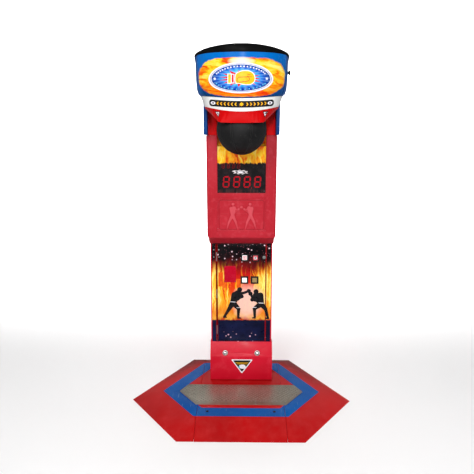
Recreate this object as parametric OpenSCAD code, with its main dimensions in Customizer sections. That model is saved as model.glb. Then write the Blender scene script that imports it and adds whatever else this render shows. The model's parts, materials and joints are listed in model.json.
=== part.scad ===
/* [Platform] */
// Half width of the platform's front and back edges
plat_a = 359; // [340:1:380]
// Half width of the platform at its widest line
plat_b = 698; // [660:1:730]
// Depth position of the widest line
plat_wy = -69; // [-90:1:-50]
// Platform depth, front to back
plat_d = 1001; // [980:1:1020]
// Height of the platform's top face
plat_h = 55; // [50:1:60]
// Width of the sloped ramps, seen from above
ramp = 163; // [150:1:175]
// Width of the blue floor band
band_w = 89; // [80:1:95]
// Distance from the centre to each seam between the platform's sections
seam_x = 262; // [255:1:270]
/* [Column] */
// Outer width of the lower column
col_w = 400; // [390:2:410]
// Front plane of the lower column
col_y = 130; // [125:1:135]
// Rear plane of the whole cabinet
back_y = 330; // [320:1:340]
// Height where the upper cabinet starts
col_top = 1040; // [1030:1:1050]
// Thickness of the sheet panels
sheet = 3; // [2:0.5:4]
/* [Upper cabinet] */
// Front plane of the upper moulding
up_y = 42; // [38:1:46]
// Half width of the display opening
win_x = 147; // [144:1:150]
// Lower edge of the display opening
win_z = 1322; // [1315:1:1330]
/* [Punch mechanism] */
// Radius of the punch ball
ball_r = 138; // [130:1:139]
// Height of the pivot shaft
piv_z = 1900; // [1895:1:1905]
// Depth position of the pivot shaft
piv_y = -160; // [-162:1:-158]
// Distance from the pivot to the centre of the ball
arm_len = 204; // [200:1:206]
// Radius of the pivot shaft
shaft_r = 10; // [9:0.5:11]
/* [Hidden] */
$fn = 48;
hy = plat_d / 2;
run_r = shaft_r + 0.05;
bay_r = ball_r + arm_len + 24;
red = [0.78, 0.06, 0.08];
darkred = [0.55, 0.02, 0.03];
blue = [0.01, 0.32, 0.63];
// Hexagon outline of the platform, counter-clockwise from front left
function hexa() = [[-plat_a, -hy], [plat_a, -hy], [plat_b, plat_wy], [plat_a, hy], [-plat_a, hy], [-plat_b, plat_wy]];
// Crossing point of the lines p + t u and q + s w
function cross_at(p, u, q, w) = let (den = u[0] * w[1] - u[1] * w[0], d = q - p, t = (d[0] * w[1] - d[1] * w[0]) / den) p + t * u;
// The convex outline P moved inwards by d
function inset(P, d) = let (n = len(P)) [for (i = [0:n - 1]) let (a = P[(i + n - 1) % n], b = P[i], c = P[(i + 1) % n],
    u = (b - a) / norm(b - a), w = (c - b) / norm(c - b), nu = [-u[1], u[0]], nw = [-w[1], w[0]])
    cross_at(b + d * nu, u, b + d * nw, w)];
module box(a, b) { translate(a) cube([b[0] - a[0], b[1] - a[1], b[2] - a[2]]); }
module plate(P, z0, z1) { translate([0, 0, z0]) linear_extrude(z1 - z0) polygon(P); }
// Bar along X, Y or Z with its middle at p
module rod(p, r, h, ax = "z") { translate(p) rotate(ax == "x" ? [0, 90, 0] : ax == "y" ? [90, 0, 0] : [0, 0, 0]) cylinder(r = r, h = h, center = true); }
// Frustum of the platform, lowered by dz
module frustum(dz, in0) {
  P = inset(hexa(), in0); Q = inset(hexa(), ramp + in0 * 0.2);
  n = 6;
  polyhedron([for (p = P) [p[0], p[1], 0], for (q = Q) [q[0], q[1], plat_h - dz]],
    concat([[0, 1, 2, 3, 4, 5], [11, 10, 9, 8, 7, 6]], [for (i = [0:5]) [6 + i, 6 + (i + 1) % 6, (i + 1) % 6, i]]));
}
module inner_frustum() {
  P = inset(hexa(), 14); Q = inset(hexa(), ramp + 3);
  polyhedron([for (p = P) [p[0], p[1], -1], for (q = Q) [q[0], q[1], plat_h - 4]],
    concat([[0, 1, 2, 3, 4, 5], [11, 10, 9, 8, 7, 6]], [for (i = [0:5]) [6 + i, 6 + (i + 1) % 6, (i + 1) % 6, i]]));
}
anchors = [[-200, -286], [200, -286]];
bolt_y = [-230, 190];
module base_centre() { color(red) difference() {
  intersection() { frustum(0, 0); box([-seam_x + 0.6, -hy - 5, -5], [seam_x - 0.6, hy + 5, plat_h + 5]); }
  intersection() { inner_frustum(); box([-seam_x + 4.6, -hy - 5, -5], [seam_x - 4.6, hy + 5, plat_h + 5]); }
  for (a = anchors) translate([a[0], a[1], plat_h - 6]) cylinder(r = 6.5, h = 12);
  for (s = [-1, 1], y = bolt_y) rod([s * (seam_x - 3), y, 26], 5.5, 14, "x");
} }
module wing(s) { color(red) difference() {
  intersection() { frustum(0, 0); if (s > 0) box([seam_x + 0.6, -hy - 5, -5], [plat_b + 5, hy + 5, plat_h + 5]); else box([-plat_b - 5, -hy - 5, -5], [-seam_x - 0.6, hy + 5, plat_h + 5]); }
  intersection() { inner_frustum(); if (s > 0) box([seam_x + 4.6, -hy - 5, -5], [plat_b + 5, hy + 5, plat_h + 5]); else box([-plat_b - 5, -hy - 5, -5], [-seam_x - 4.6, hy + 5, plat_h + 5]); }
  for (y = bolt_y) rod([s * (seam_x + 3), y, 26], 5.5, 14, "x");
} }
module base_wing_left() { wing(-1); }
module base_wing_right() { wing(1); }
tread = [[-275, -215], [275, -215], [393, -60], [348, 25], [-348, 25], [-393, -60]];
module floor_band() { color(blue) difference() {
  plate(inset(hexa(), ramp + 1), plat_h, plat_h + 1.2);
  plate(inset(hexa(), ramp + band_w), plat_h - 1, plat_h + 3);
  for (s = [-1, 1]) box([s * seam_x - 0.8, -hy, plat_h - 1], [s * seam_x + 0.8, hy, plat_h + 3]);
  box([-col_w / 2 - 14, 100, plat_h - 1], [col_w / 2 + 14, hy, plat_h + 3]);
  translate([0, 0, plat_h - 1]) linear_extrude(4) offset(delta = 1) polygon(tread);
  for (a = anchors) translate([a[0], a[1], plat_h - 1]) cylinder(r = 9, h = 6);
} }
tscrew = [[-262, -200], [262, -200], [-378, -60], [378, -60], [-338, 12], [338, 12], [-90, -203], [90, -203], [-120, 13], [120, 13]];
module tread_plate() { color([0.66, 0.66, 0.64]) difference() {
  plate(tread, plat_h, plat_h + 3);
  for (p = tscrew) translate([p[0], p[1], plat_h - 1]) cylinder(r = 2.6, h = 6);
} }
module tread_screws() { color("silver") for (p = tscrew) translate([p[0], p[1], 0]) {
  translate([0, 0, plat_h]) cylinder(r = 2.4, h = 3.02);
  translate([0, 0, plat_h + 3]) cylinder(r1 = 5, r2 = 3.4, h = 1.8);
} }
module wing_bolts() { color("dimgray") for (s = [-1, 1], y = bolt_y) translate([s * seam_x, y, 26]) rotate([0, 90, 0]) {
  cylinder(r = 5, h = 26, center = true);
  translate([0, 0, 4.7]) cylinder(r = 9, h = 6, $fn = 6);
  translate([0, 0, -10.7]) cylinder(r = 9, h = 6, $fn = 6);
} }
module base_bearers() { color("dimgray") for (y = [-260, -90, 110, 280]) translate([0, y, 0]) difference() {
  box([-250, -15, 3], [250, 15, plat_h - 4]);
  box([-251, -12, 6], [251, 12, plat_h - 7]);
} }
cw = col_w / 2;
dz0 = 321;
dz1 = 984;
hx = -160;
hyy = col_y + 1.5;
hz = [400, 650, 900];
module column_sides() { color(red) for (s = [-1, 1]) {
  box([s > 0 ? cw - sheet : -cw, col_y, plat_h], [s > 0 ? cw : -cw + sheet, back_y, col_top]);
} }
module column_back() { color(red) difference() {
  box([-cw + sheet, back_y - sheet, plat_h], [cw - sheet, back_y, col_top]);
  box([-150, back_y - sheet - 1, 250], [150, back_y + 1, 850]);
  box([60, back_y - sheet - 1, 203.5], [110, back_y + 1, 229]);
} }
module kick_profile(P, x) { translate([-x, 0, 0]) rotate([90, 0, 90]) linear_extrude(2 * x) polygon(P); }
module kick_cover() { color(red) difference() {
  kick_profile([[87, plat_h], [175, plat_h], [175, 316], [col_y - 0.3, 316], [87, 226]], cw + 5.5);
  kick_profile([[90.5, 40], [190, 40], [190, 330], [col_y - 0.01, 330], [col_y - 0.01, 311], [90.5, 225.5]], cw + 2);
  for (s = [-1, 1]) kick_hole(s, 3.1);
} }
// Axis of the two dome fixings on the kick cover's slope
module kick_at(s) { translate([s * 106, 97.5, 248]) rotate([64.6, 0, 0]) children(); }
module kick_hole(s, r) { kick_at(s) cylinder(r = r, h = 30, center = true); }
module kick_studs() { color("silver") for (s = [-1, 1]) kick_at(s) {
  cylinder(r = 3, h = 12, center = true);
  translate([0, 0, 3.6]) rotate_extrude() intersection() { translate([0, -6]) circle(r = 16, $fn = 64); square([14, 12]); }
} }
module front_frame() { color(red) difference() {
  box([-cw + sheet, col_y, plat_h], [cw - sheet, col_y + sheet, 988.5]);
  box([-163.5, col_y - 1, dz0 - 2], [160.5, col_y + sheet + 1, dz1 + 2]);
} }
btn = [[20, 745], [86, 745]];
coin = [[21, 895], [90, 894]];
module front_door() { color([0.9, 0.35, 0.05]) difference() {
  box([-157.3, col_y, dz0], [158.5, col_y + sheet, dz1]);
  for (p = concat(btn, coin)) box([p[0] - 21.5, col_y - 1, p[1] - 21.5], [p[0] + 21.5, col_y + 9, p[1] + 21.5]);
  rod([146, col_y, 899], 9.05, 20, "y");
} }
module knuckle(z0, z1, s, x0, y0, r, b, w) { difference() {
  union() { translate([x0, y0, z0]) cylinder(r = r, h = z1 - z0); children(); }
  translate([x0, y0, z0 - 1]) cylinder(r = b, h = z1 - z0 + 2);
} }
module hinge_frame_knuckles() { color("dimgray") { for (z = hz, e = [[-30, -10], [10, 30]])
    knuckle(z + e[0], z + e[1], -1, hx, hyy, 2.4, 1.25) box([-163.5, col_y + 0.5, z + e[0]], [hx, col_y + 2.5, z + e[1]]);
  for (z = hz) translate([hx, hyy, z - 31]) cylinder(r = 1.2, h = 62);
  for (z = [898, 946]) translate([-178, col_y, z]) rotate([90, 0, 0]) cylinder(r1 = 5, r2 = 3.5, h = 2.4);
} }
module hinge_door_knuckles() { color("dimgray") { for (z = hz)
    knuckle(z - 9.6, z + 9.6, 1, hx, hyy, 2.4, 1.25) box([hx, col_y + 0.5, z - 9.6], [-157.3, col_y + 2.5, z + 9.6]);
  for (z = [898, 946]) translate([-146, col_y, z]) rotate([90, 0, 0]) cylinder(r1 = 5, r2 = 3.5, h = 2.4);
} }
module front_lock() { color("silver") {
  rod([146, col_y + 5, 899], 9, 26, "y");
  rod([146, col_y - 8.9, 899], 11, 1.8, "y");
  box([141, col_y + 18, 899], [151, col_y + 20, 928]);
} }
module bezel(p, o) { difference() {
  union() { box([p[0] - o, col_y - 4, p[1] - o], [p[0] + o, col_y, p[1] + o]); box([p[0] - 21, col_y, p[1] - 21], [p[0] + 21, col_y + 20, p[1] + 21]); }
  box([p[0] - 15.6, col_y - 5, p[1] - 15.6], [p[0] + 15.6, col_y + 30, p[1] + 15.6]);
} }
module button_bezels() { color("black") { for (p = btn) bezel(p, 25);
  for (p = coin) difference() { bezel(p, 24); box([p[0] + 17, col_y - 5, p[1] - 13], [p[0] + 20.2, col_y + 30, p[1] + 13]); } } }
module button(p) { box([p[0] - 15, col_y - 6.5, p[1] - 15], [p[0] + 15, col_y + 15, p[1] + 15]); }
module start_button_white() { color("white") button(btn[0]); }
module start_button_amber() { color([0.7, 0.55, 0.25]) button(btn[1]); }
module coin_button_left() { color([0.95, 0.75, 0.75]) button(coin[0]); }
module coin_button_right() { color([0.8, 0.25, 0.25]) button(coin[1]); }
module coin_mechs() { color([0.25, 0.25, 0.27]) for (p = coin) {
  box([p[0] - 24, col_y + 21, p[1] - 60], [p[0] + 24, col_y + 78, p[1] + 30]);
  for (s = [-1, 1]) translate([p[0] + s * 23, 0, p[1]]) box([-1, col_y + 3, -22], [1, col_y + 21, 22]);
} }
module blanking_plate() { color([0.8, 0, 0.15]) box([-112, col_y - 1.5, 729], [-35, col_y, 839]); }
module cash_box() { color("dimgray") difference() {
  box([-130, 140, plat_h + 0.5], [130, 320, 200]);
  box([-128, 142, plat_h + 3], [128, 318, 201]);
} }
module power_supply() { color("silver") difference() {
  box([-196, 180, 230], [-120, 320, 330]);
  for (i = [0:6]) box([-121, 200 + i * 16, 250], [-119, 208 + i * 16, 310]);
} }
module control_board() { color([0.05, 0.35, 0.12]) {
  box([-188, 170, 420], [-186, 310, 620]);
  for (z = [430, 610], y = [180, 300]) rod([-192.5, y, z], 3, 9, "x");
  for (i = [0:3]) box([-186, 190 + i * 30, 520], [-180, 208 + i * 30, 560]);
  box([-186, 190, 450], [-172, 290, 480]);
} }
rhx = -170;
rhy = back_y + 4.5;
rhz = [300, 550, 800];
module rear_door() { color(red) difference() {
  union() {
    box([-165.5, back_y + 0.6, 235], [165, back_y + 3.6, 865]);
    for (z = rhz) { translate([rhx, rhy, z - 9.5]) cylinder(r = 4, h = 19); box([rhx, back_y + 0.6, z - 9.5], [-165, back_y + 2.4, z + 9.5]); }
  }
  for (z = rhz) translate([rhx, rhy, z - 12]) cylinder(r = 2.05, h = 24);
  rod([132, back_y + 2, 550], 9.05, 20, "y");
  for (i = [0:7]) box([-60, back_y - 1, 700 + i * 12], [60, back_y + 6, 704 + i * 12]);
} }
module rear_hinges() { color("dimgray") { for (z = rhz, e = [[-30, -10], [10, 30]]) difference() {
    union() { translate([rhx, rhy, z + e[0]]) cylinder(r = 4, h = e[1] - e[0]); box([-190, back_y, z + e[0]], [rhx, back_y + 2, z + e[1]]); }
    translate([rhx, rhy, z + e[0] - 1]) cylinder(r = 2.05, h = 22);
  }
  for (z = rhz) translate([rhx, rhy, z - 31]) cylinder(r = 2, h = 62);
} }
module rear_lock() { color("silver") {
  rod([132, back_y - 3, 550], 9, 20, "y");
  rod([132, back_y + 8, 550], 11, 2, "y");
  box([127, back_y - 13, 550], [137, back_y - 11, 576]);
} }
module mains_inlet() { color([0.1, 0.1, 0.1]) difference() {
  union() { box([60, back_y - 30, 203.5], [110, back_y, 229]); box([56, back_y, 200], [114, back_y + 2, 233]); }
  box([70, back_y - 18, 207], [100, back_y + 3, 225]);
} }
ux = 213;
function arc(c, r, a0, a1, n) = [for (i = [0:n]) let (a = a0 + (a1 - a0) * i / n) [c[0] + r * cos(a), c[1] + r * sin(a)]];
module upper_sides() { color(red) {
  for (s = [-1, 1]) box([s > 0 ? ux - sheet : -ux, 60.3, col_top + 4], [s > 0 ? ux : -ux + sheet, back_y, 1666]);
  box([-ux + sheet, 59.5, col_top], [ux - sheet, back_y, col_top + sheet]);
} }
module upper_back() { color(red) difference() {
  box([-ux + sheet, back_y - sheet, col_top + 4], [ux - sheet, back_y, 1666]);
  for (i = [-5:5]) box([i * 10 - 2.5, back_y - 5, 1140], [i * 10 + 2.5, back_y + 1, 1220]);
} }
module front_moulding() { color([0.86, 0.3, 0.36]) {
  difference() {
    translate([0, 0, 1045]) linear_extrude(1666 - 1045) polygon(concat([[-ux, 60]], arc([-ux + 14, up_y + 14], 14, 180, 270, 8), arc([ux - 14, up_y + 14], 14, 270, 360, 8), [[ux, 60]],
      [[ux - 3.5, 60]], arc([ux - 14, up_y + 14], 10.5, 360, 270, 8), arc([-ux + 14, up_y + 14], 10.5, 270, 180, 8), [[-ux + 3.5, 60]]));
    box([-win_x, up_y - 1, win_z], [win_x, up_y + 6, 1700]);
    box([-win_x - 0.3, up_y - 1, 1087.7], [win_x + 0.3, up_y + 6, 1287.3]);
    for (s = [-1, 1]) translate([s * ux, 40, 1045]) rotate([-90, 0, 0]) linear_extrude(40) polygon([[-s, 1], [s * -20, 1], [s * -14.8, -1.4], [s * -8.5, -4.6], [s * -3.6, -9.6], [s * -0.9, -15.8], [s * 1, -22], [s * 1, 1]]);
  }
  for (s = [-1, 1]) box([s > 0 ? win_x : -win_x - 3, up_y + 3.5, win_z - 3], [s > 0 ? win_x + 3 : -win_x, 59.7, 1666]);
  box([-win_x, up_y + 3.5, win_z - 3], [win_x, 59.7, win_z]);
  translate([-205, 0, 0]) rotate([90, 0, 90]) linear_extrude(410) polygon([[up_y + 0.2, 1045], [up_y + 3.3, 1048.6], [col_y - 0.2, 994], [col_y - 0.2, 989.3]]);
} }
module relief_plate() { color([0.88, 0.34, 0.4]) {
  box([-win_x, up_y + 1.5, 1088], [win_x, up_y + 3.5, 1287]);
  // bas-relief of a boxing glove and three rays
  translate([0, up_y + 1.5, 1180]) rotate([90, 0, 0]) linear_extrude(2.2) union() {
    translate([12, 6]) circle(r = 42); translate([-24, 12]) circle(r = 26); translate([-34, -62]) square([70, 34]);
    translate([-34, -30]) square([76, 40]);
  }
} }
module display_window() { color([0.1, 0.03, 0.03]) box([-win_x + 0.2, 53, win_z + 0.2], [win_x - 0.2, 56, 1603]); }
dig = [-93, -29.5, 34, 97.5];
module display_board() { color([0.03, 0.2, 0.08]) {
  box([-140, 68, 1332], [140, 70, 1596]);
  for (s = [-1, 1], z = [1340, 1588]) rod([s * 134, 73.5, z], 3, 7, "y");
} }
module score_digits() { color([0.35, 0.01, 0.03]) {
  for (x = dig) box([x - 23, 58, 1351], [x + 23, 68, 1427]);
  for (i = [0:3]) box([-124 + i * 31, 60, 1466], [-97 + i * 31, 68, 1502]);
} }
a_s = asin((60 - piv_y) / bay_r);
module scoop_panel() { color([0.8, 0.35, 0.1]) translate([-149.5, 0, 0]) rotate([90, 0, 90]) linear_extrude(299)
  polygon(concat([[piv_y + bay_r, 2050]], [for (i = [0:20]) let (a = 90 - (90 - a_s) * i / 20) [piv_y + bay_r * sin(a), piv_z - bay_r * cos(a)]],
    [for (i = [0:20]) let (a = a_s + (90 - a_s) * i / 20) [piv_y + (bay_r + 3) * sin(a), piv_z - (bay_r + 3) * cos(a)]], [[piv_y + bay_r + 3, 2050]])); }
module head_side(s) { color(blue) translate([s > 0 ? 199 : -220, 0, 0]) rotate([90, 0, 90]) linear_extrude(21)
  polygon(concat(arc([-24, 1684], 16, 180, 270, 6), arc([back_y - 16, 1684], 16, 270, 360, 6), [[back_y, 2062], [-40, 2062]])); }
module head_side_left() { head_side(-1); }
module head_side_right() { head_side(1); }
module cheeks() { color(darkred) for (s = [-1, 1]) {
  box([s > 0 ? 150.2 : -198.8, up_y + 2, 1667], [s > 0 ? 198.8 : -150.2, up_y + 5, 2050]);
  box([s > 0 ? 150.2 : -153.2, 47.2, 1606], [s > 0 ? 153.2 : -150.2, back_y - sheet, 2050]);
} }
module head_back() { color(darkred) difference() {
  box([-198.8, back_y - sheet, 1667], [198.8, back_y, 2060]);
  for (i = [0:6]) box([-90, back_y - 5, 1960 + i * 10], [90, back_y + 4, 1964 + i * 10]);
} }
// Arc in plan through (-w, ys), (0, yf) and (w, ys), with side returns to yr; z from zc in the middle to zs at the ends
NA = 32;
function ring(w, yf, ys, yr, zc, zs, zr = 0, wp = 0, d = 0) = let (b = ys - yf, R = (w * w + b * b) / (2 * b), yc = yf + R, A = asin((wp > 0 ? wp : w) / R), e = zr > 0 ? zr : zs,
  M = [for (i = [0:NA]) let (a = -A + 2 * A * i / NA, x = R * sin(a)) [(R + d) * sin(a), yc - (R + d) * cos(a), zc + (zs - zc) * pow(x / w, 2)]])
  wp > 0 ? M : concat([[-w, yr, e]], M, [[w, yr, e]]);
function lerp(a, b, t) = a + (b - a) * t;
function facet(t, P) = let (n = len(P) - 1, k = min(floor(t * n), n - 1)) lerp(P[k], P[k + 1], t * n - k);
function down(R, d) = [for (p = R) [p[0], p[1], p[2] - d]];
// Closed skin between two stacks of rings
module skin(O, I) {
  m = len(O); N = len(O[0]);
  function o(k, i) = k * N + i;
  function q(k, i) = m * N + k * N + i;
  P = concat([for (k = [0:m - 1]) each O[k]], [for (k = [0:m - 1]) each I[k]]);
  F = concat(
    [for (k = [0:m - 2], i = [0:N - 2]) each [[o(k, i), o(k + 1, i), o(k + 1, i + 1)], [o(k, i), o(k + 1, i + 1), o(k, i + 1)]]],
    [for (k = [0:m - 2], i = [0:N - 2]) each [[q(k, i), q(k + 1, i + 1), q(k + 1, i)], [q(k, i), q(k, i + 1), q(k + 1, i + 1)]]],
    [for (i = [0:N - 2]) each [[o(0, i), o(0, i + 1), q(0, i + 1)], [o(0, i), q(0, i + 1), q(0, i)]]],
    [for (i = [0:N - 2]) each [[o(m - 1, i), q(m - 1, i + 1), o(m - 1, i + 1)], [o(m - 1, i), q(m - 1, i), q(m - 1, i + 1)]]],
    [for (k = [0:m - 2]) each [[o(k, 0), q(k + 1, 0), o(k + 1, 0)], [o(k, 0), q(k, 0), q(k + 1, 0)]]],
    [for (k = [0:m - 2]) each [[o(k, N - 1), o(k + 1, N - 1), q(k + 1, N - 1)], [o(k, N - 1), q(k + 1, N - 1), q(k, N - 1)]]]);
  polyhedron(P, F);
}
ys0 = -100;
ysr = -8;
// Marquee levels: half width, front plane, height in the middle, height at the ends
MQ = [[228, -311, 1851, 1876], [241, -317, 1866, 1888], [249, -320, 1896, 1914], [253, -322, 1950, 1962], [255, -323, 2074, 2083]];
module crown() { color([0.04, 0.04, 0.04]) {
  a = ring(260, -326, ys0, ysr, 2074.5, 2083.5, 2044); b = ring(261, -326, ys0, ysr, 2096, 2090, 2090); c = ring(258, -323, ys0, ysr, 2112, 2096); d = ring(252, -316, ys0, ysr, 2117, 2098);
  a2 = ring(256.4, -322, ys0, ysr, 2074.5, 2083.5, 2044); b2 = ring(257, -322, ys0, ysr, 2094, 2088, 2086); c2 = ring(254, -319, ys0, ysr, 2109, 2092); d2 = ring(249, -313, ys0, ysr, 2113, 2094);
  skin([a, b, c, d], [a2, b2, c2, d2]);
  N = len(d);
  e = [for (i = [0:N - 1]) [d[i][0] * 0.97, 40, lerp(d[i][2], 2098, 0.5)]];
  g = [for (i = [0:N - 1]) [d[i][0] * 226 / 252, back_y + 4, 2090]];
  h = [for (i = [0:N - 1]) [d[i][0] * 226 / 252, back_y + 4, 2064]];
  skin([d, e, g, h], [down(d, 4), down(e, 4), [for (p = down(g, 4)) [p[0] * 0.983, p[1] - 3.4, p[2]]], [for (p = h) [p[0] * 0.983, p[1] - 3.4, p[2]]]]);
} }
module marquee_shell() { color(blue) difference() {
  skin([for (m = MQ) ring(m[0], m[1], ys0, -42, m[2], m[3])], [for (m = MQ) ring(m[0] - 3.5, m[1] + 3.5, ys0, -42, m[2], m[3])]);
  box([-200, -340, 1905], [200, -150, 2045]);
  rod([250, -74, 2005], 8.3, 40, "x");
} }
module marquee_panel() { color([0.95, 0.6, 0.15]) skin(
  [for (m = MQ) ring(m[0], m[1], ys0, 0, m[2], m[3], 0, m[0] * 0.93, 2.9)],
  [for (m = MQ) ring(m[0], m[1], ys0, 0, m[2], m[3], 0, m[0] * 0.93, 0.6)]); }
module white_band() { color("white") skin(
  [ring(206, -304, -96, -42, 1785, 1820), ring(228, -310.5, ys0, -42, 1850.6, 1875.6)],
  [ring(203, -301, -96, -42, 1785, 1820), ring(225, -307.5, ys0, -42, 1850.6, 1875.6)]); }
lipP = [[-205, -66, 1812], [-118, -306, 1739], [118, -306, 1739], [205, -66, 1812]];
module lip() { color(red) {
  top = ring(206, -304, -96, -42, 1784.6, 1819.6); ti = ring(203, -301, -96, -42, 1784.6, 1819.6);
  bo = concat([[-205, -42, 1815]], [for (i = [0:NA]) let (t = i / NA, p = facet(t, lipP)) [p[0], p[1], p[2] - 12 * pow(sin(180 * t), 2)]], [[205, -42, 1815]]);
  bi = [for (p = bo) [p[0] * 0.986, p[1] > -50 ? p[1] : p[1] + 3, p[2]]];
  skin([bo, top], [bi, ti]);
} }
module head_lamp() { color("white") { rod([0, -258, 2020], 13, 240, "x"); for (s = [-1, 1]) box([s * 128 - 8, -268, 2006], [s * 128 + 8, -248, 2060]); } }
module speaker() { color([0.08, 0.08, 0.08]) { rod([0, back_y - 8, 1180], 52, 10, "y"); rod([0, back_y - 20, 1180], 36, 14, "y"); rod([0, back_y - 34, 1180], 24, 14, "y"); } }
module head_lock() { color([0.05, 0.05, 0.05]) { rod([250, -74, 2005], 8, 30, "x"); rod([266, -74, 2005], 13, 8, "x"); } }
module ceiling_pad() { color([0.1, 0.1, 0.1]) box([-120, -60, 2016], [120, 190, 2050]); }
module bearing_plates() { color("dimgray") for (s = [-1, 1]) translate([s * 158, 0, 0]) difference() {
  box([-2, -230, 1862], [2, 42, 2062]);
  rod([0, piv_y, piv_z], shaft_r + 4, 10, "x");
} }
module bearings() { color("silver") for (s = [-1, 1]) translate([s * 172, 0, 0]) difference() {
  box([-12, piv_y - 26, piv_z - 26], [12, piv_y + 26, piv_z + 26]);
  rod([0, piv_y, piv_z], run_r, 30, "x");
} }
module pivot_shaft() { color("silver") { rod([0, piv_y, piv_z], shaft_r, 376, "x"); rod([-192, piv_y, piv_z], 30, 3, "x"); } }
module swing_arm() { color([0.3, 0.3, 0.32]) difference() {
  union() {
    rod([0, piv_y, piv_z], 21, 80, "x"); rod([56, piv_y, piv_z], 46, 8, "x"); rod([46, piv_y, piv_z], 18, 20, "x");
    box([-14, piv_y - 14, piv_z - 66], [14, piv_y + 14, piv_z - 12]);
    translate([0, piv_y, piv_z - 75]) cylinder(r = 42, h = 9);
  }
  rod([0, piv_y, piv_z], shaft_r, 400, "x");
  translate([56, piv_y, piv_z]) rotate([0, 90, 0]) rotate([0, 0, 180 + 35 - 82]) translate([40, -7, -5]) cube([20, 14, 10]);
} }
module punch_ball() { color([0.08, 0.08, 0.08]) difference() {
  translate([0, piv_y, piv_z - arm_len]) sphere(r = ball_r, $fn = 64);
  translate([0, piv_y, piv_z - 75]) cylinder(r = 80, h = 40);
} }
lpy = -236;
lpz = 1950;
module latch_hook() { color("silver") difference() {
  union() { rod([56, lpy, lpz], 10, 8, "x"); hull() { rod([56, lpy, lpz], 8, 7, "x"); rod([56, -190, 1943], 5, 7, "x"); } hull() { rod([56, lpy, lpz], 8, 7, "x"); rod([56, lpy - 2, lpz + 40], 5, 7, "x"); } }
  rod([56, lpy, lpz], 4.05, 20, "x");
} }
module solenoid() { color([0.5, 0.35, 0.1]) { difference() { box([42, -292, 1976], [70, -252, 2004]); rod([56, -262, 1990], 5.1, 80, "y"); }
  rod([56, lpy, lpz], 4, 40, "x"); box([76, -243, 1940], [80, -224, 2062]); box([69, -290, 1988], [80, -224, 1992]); } }
module solenoid_plunger() { color("silver") { rod([56, -260.5, 1990], 5, 32, "y"); } }
base_centre();
base_wing_left();
base_wing_right();
floor_band();
tread_plate();
tread_screws();
wing_bolts();
base_bearers();
column_sides();
column_back();
kick_cover();
kick_studs();
front_frame();
front_door();
hinge_frame_knuckles();
hinge_door_knuckles();
front_lock();
start_button_white();
start_button_amber();
button_bezels();
coin_button_left();
coin_button_right();
coin_mechs();
blanking_plate();
cash_box();
power_supply();
control_board();
rear_door();
rear_hinges();
rear_lock();
mains_inlet();
upper_sides();
upper_back();
front_moulding();
relief_plate();
display_window();
display_board();
score_digits();
scoop_panel();
head_side_left();
head_side_right();
cheeks();
head_back();
crown();
marquee_shell();
marquee_panel();
white_band();
lip();
head_lamp();
speaker();
head_lock();
ceiling_pad();
bearing_plates();
bearings();
pivot_shaft();
swing_arm();
punch_ball();
latch_hook();
solenoid();
solenoid_plunger();
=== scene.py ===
import bpy, bmesh, json, math, random
import numpy as np
from mathutils import Vector, Matrix
from mathutils import noise as mnoise


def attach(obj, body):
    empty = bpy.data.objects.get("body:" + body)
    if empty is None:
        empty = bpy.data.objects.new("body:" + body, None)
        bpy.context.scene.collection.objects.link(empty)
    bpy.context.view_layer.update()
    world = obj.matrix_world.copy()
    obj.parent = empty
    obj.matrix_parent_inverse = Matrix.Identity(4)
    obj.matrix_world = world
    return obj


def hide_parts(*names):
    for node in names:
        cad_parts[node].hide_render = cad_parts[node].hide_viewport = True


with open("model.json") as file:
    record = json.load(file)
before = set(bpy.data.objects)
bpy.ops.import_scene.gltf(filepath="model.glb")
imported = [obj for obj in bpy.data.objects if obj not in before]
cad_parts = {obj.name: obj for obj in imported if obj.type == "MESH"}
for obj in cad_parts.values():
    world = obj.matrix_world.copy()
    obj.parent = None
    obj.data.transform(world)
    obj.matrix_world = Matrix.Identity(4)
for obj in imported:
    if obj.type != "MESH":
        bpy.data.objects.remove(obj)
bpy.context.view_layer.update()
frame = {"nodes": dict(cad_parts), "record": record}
N = frame["nodes"]
REC = frame["record"]
BODY = {n: b for b, ns in REC["behaviour"]["bodies"].items() for n in ns}
SLOT = {p["node"]: p["material_slot"] for p in REC["subparts"]}
scene = bpy.context.scene
random.seed(7)

# ---------------------------------------------------------------- camera
TILT, YAW, ROLL = math.radians(11.7617), math.radians(0.7667), math.radians(0.0221)
cam_data = bpy.data.cameras.new("cam")
cam = bpy.data.objects.new("cam", cam_data)
scene.collection.objects.link(cam)
cam_data.sensor_width = 36.0
cam_data.lens = 36.0 * 475.0 / 474.0
cam.location = (0.01112, -2.84414, 1.65)
cy_, sy_, ct_, st_ = math.cos(YAW), math.sin(YAW), math.cos(TILT), math.sin(TILT)
right = Vector((cy_, sy_, 0)); fwd = Vector((-sy_ * ct_, cy_ * ct_, -st_)); up = Vector((-sy_ * st_, cy_ * st_, ct_))
rr = right * math.cos(ROLL) + up * math.sin(ROLL)
uu = up * math.cos(ROLL) - right * math.sin(ROLL)
cam.rotation_euler = Matrix((rr, uu, -fwd)).transposed().to_euler()
cam_data.clip_end = 60
scene.camera = cam

# ---------------------------------------------------------------- helpers: objects
def link(o):
    scene.collection.objects.link(o)
    return o

def mesh_obj(name, verts, faces, mat=None, smooth=True):
    me = bpy.data.meshes.new(name)
    me.from_pydata([tuple(v) for v in verts], [], faces)
    me.update()
    o = link(bpy.data.objects.new(name, me))
    if mat: me.materials.append(mat)
    if smooth:
        for p in me.polygons: p.use_smooth = True
    return o

def from_bm(name, bm, mat=None, smooth=False):
    me = bpy.data.meshes.new(name)
    bmesh.ops.recalc_face_normals(bm, faces=bm.faces[:])
    bm.to_mesh(me); bm.free()
    o = link(bpy.data.objects.new(name, me))
    if mat: me.materials.append(mat)
    for p in me.polygons: p.use_smooth = smooth
    return o

def apply_mods(o):
    bpy.context.view_layer.update()
    dg = bpy.context.evaluated_depsgraph_get()
    me = bpy.data.meshes.new_from_object(o.evaluated_get(dg))
    old = o.data
    o.modifiers.clear()
    o.data = me
    me.name = o.name
    return o

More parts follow.
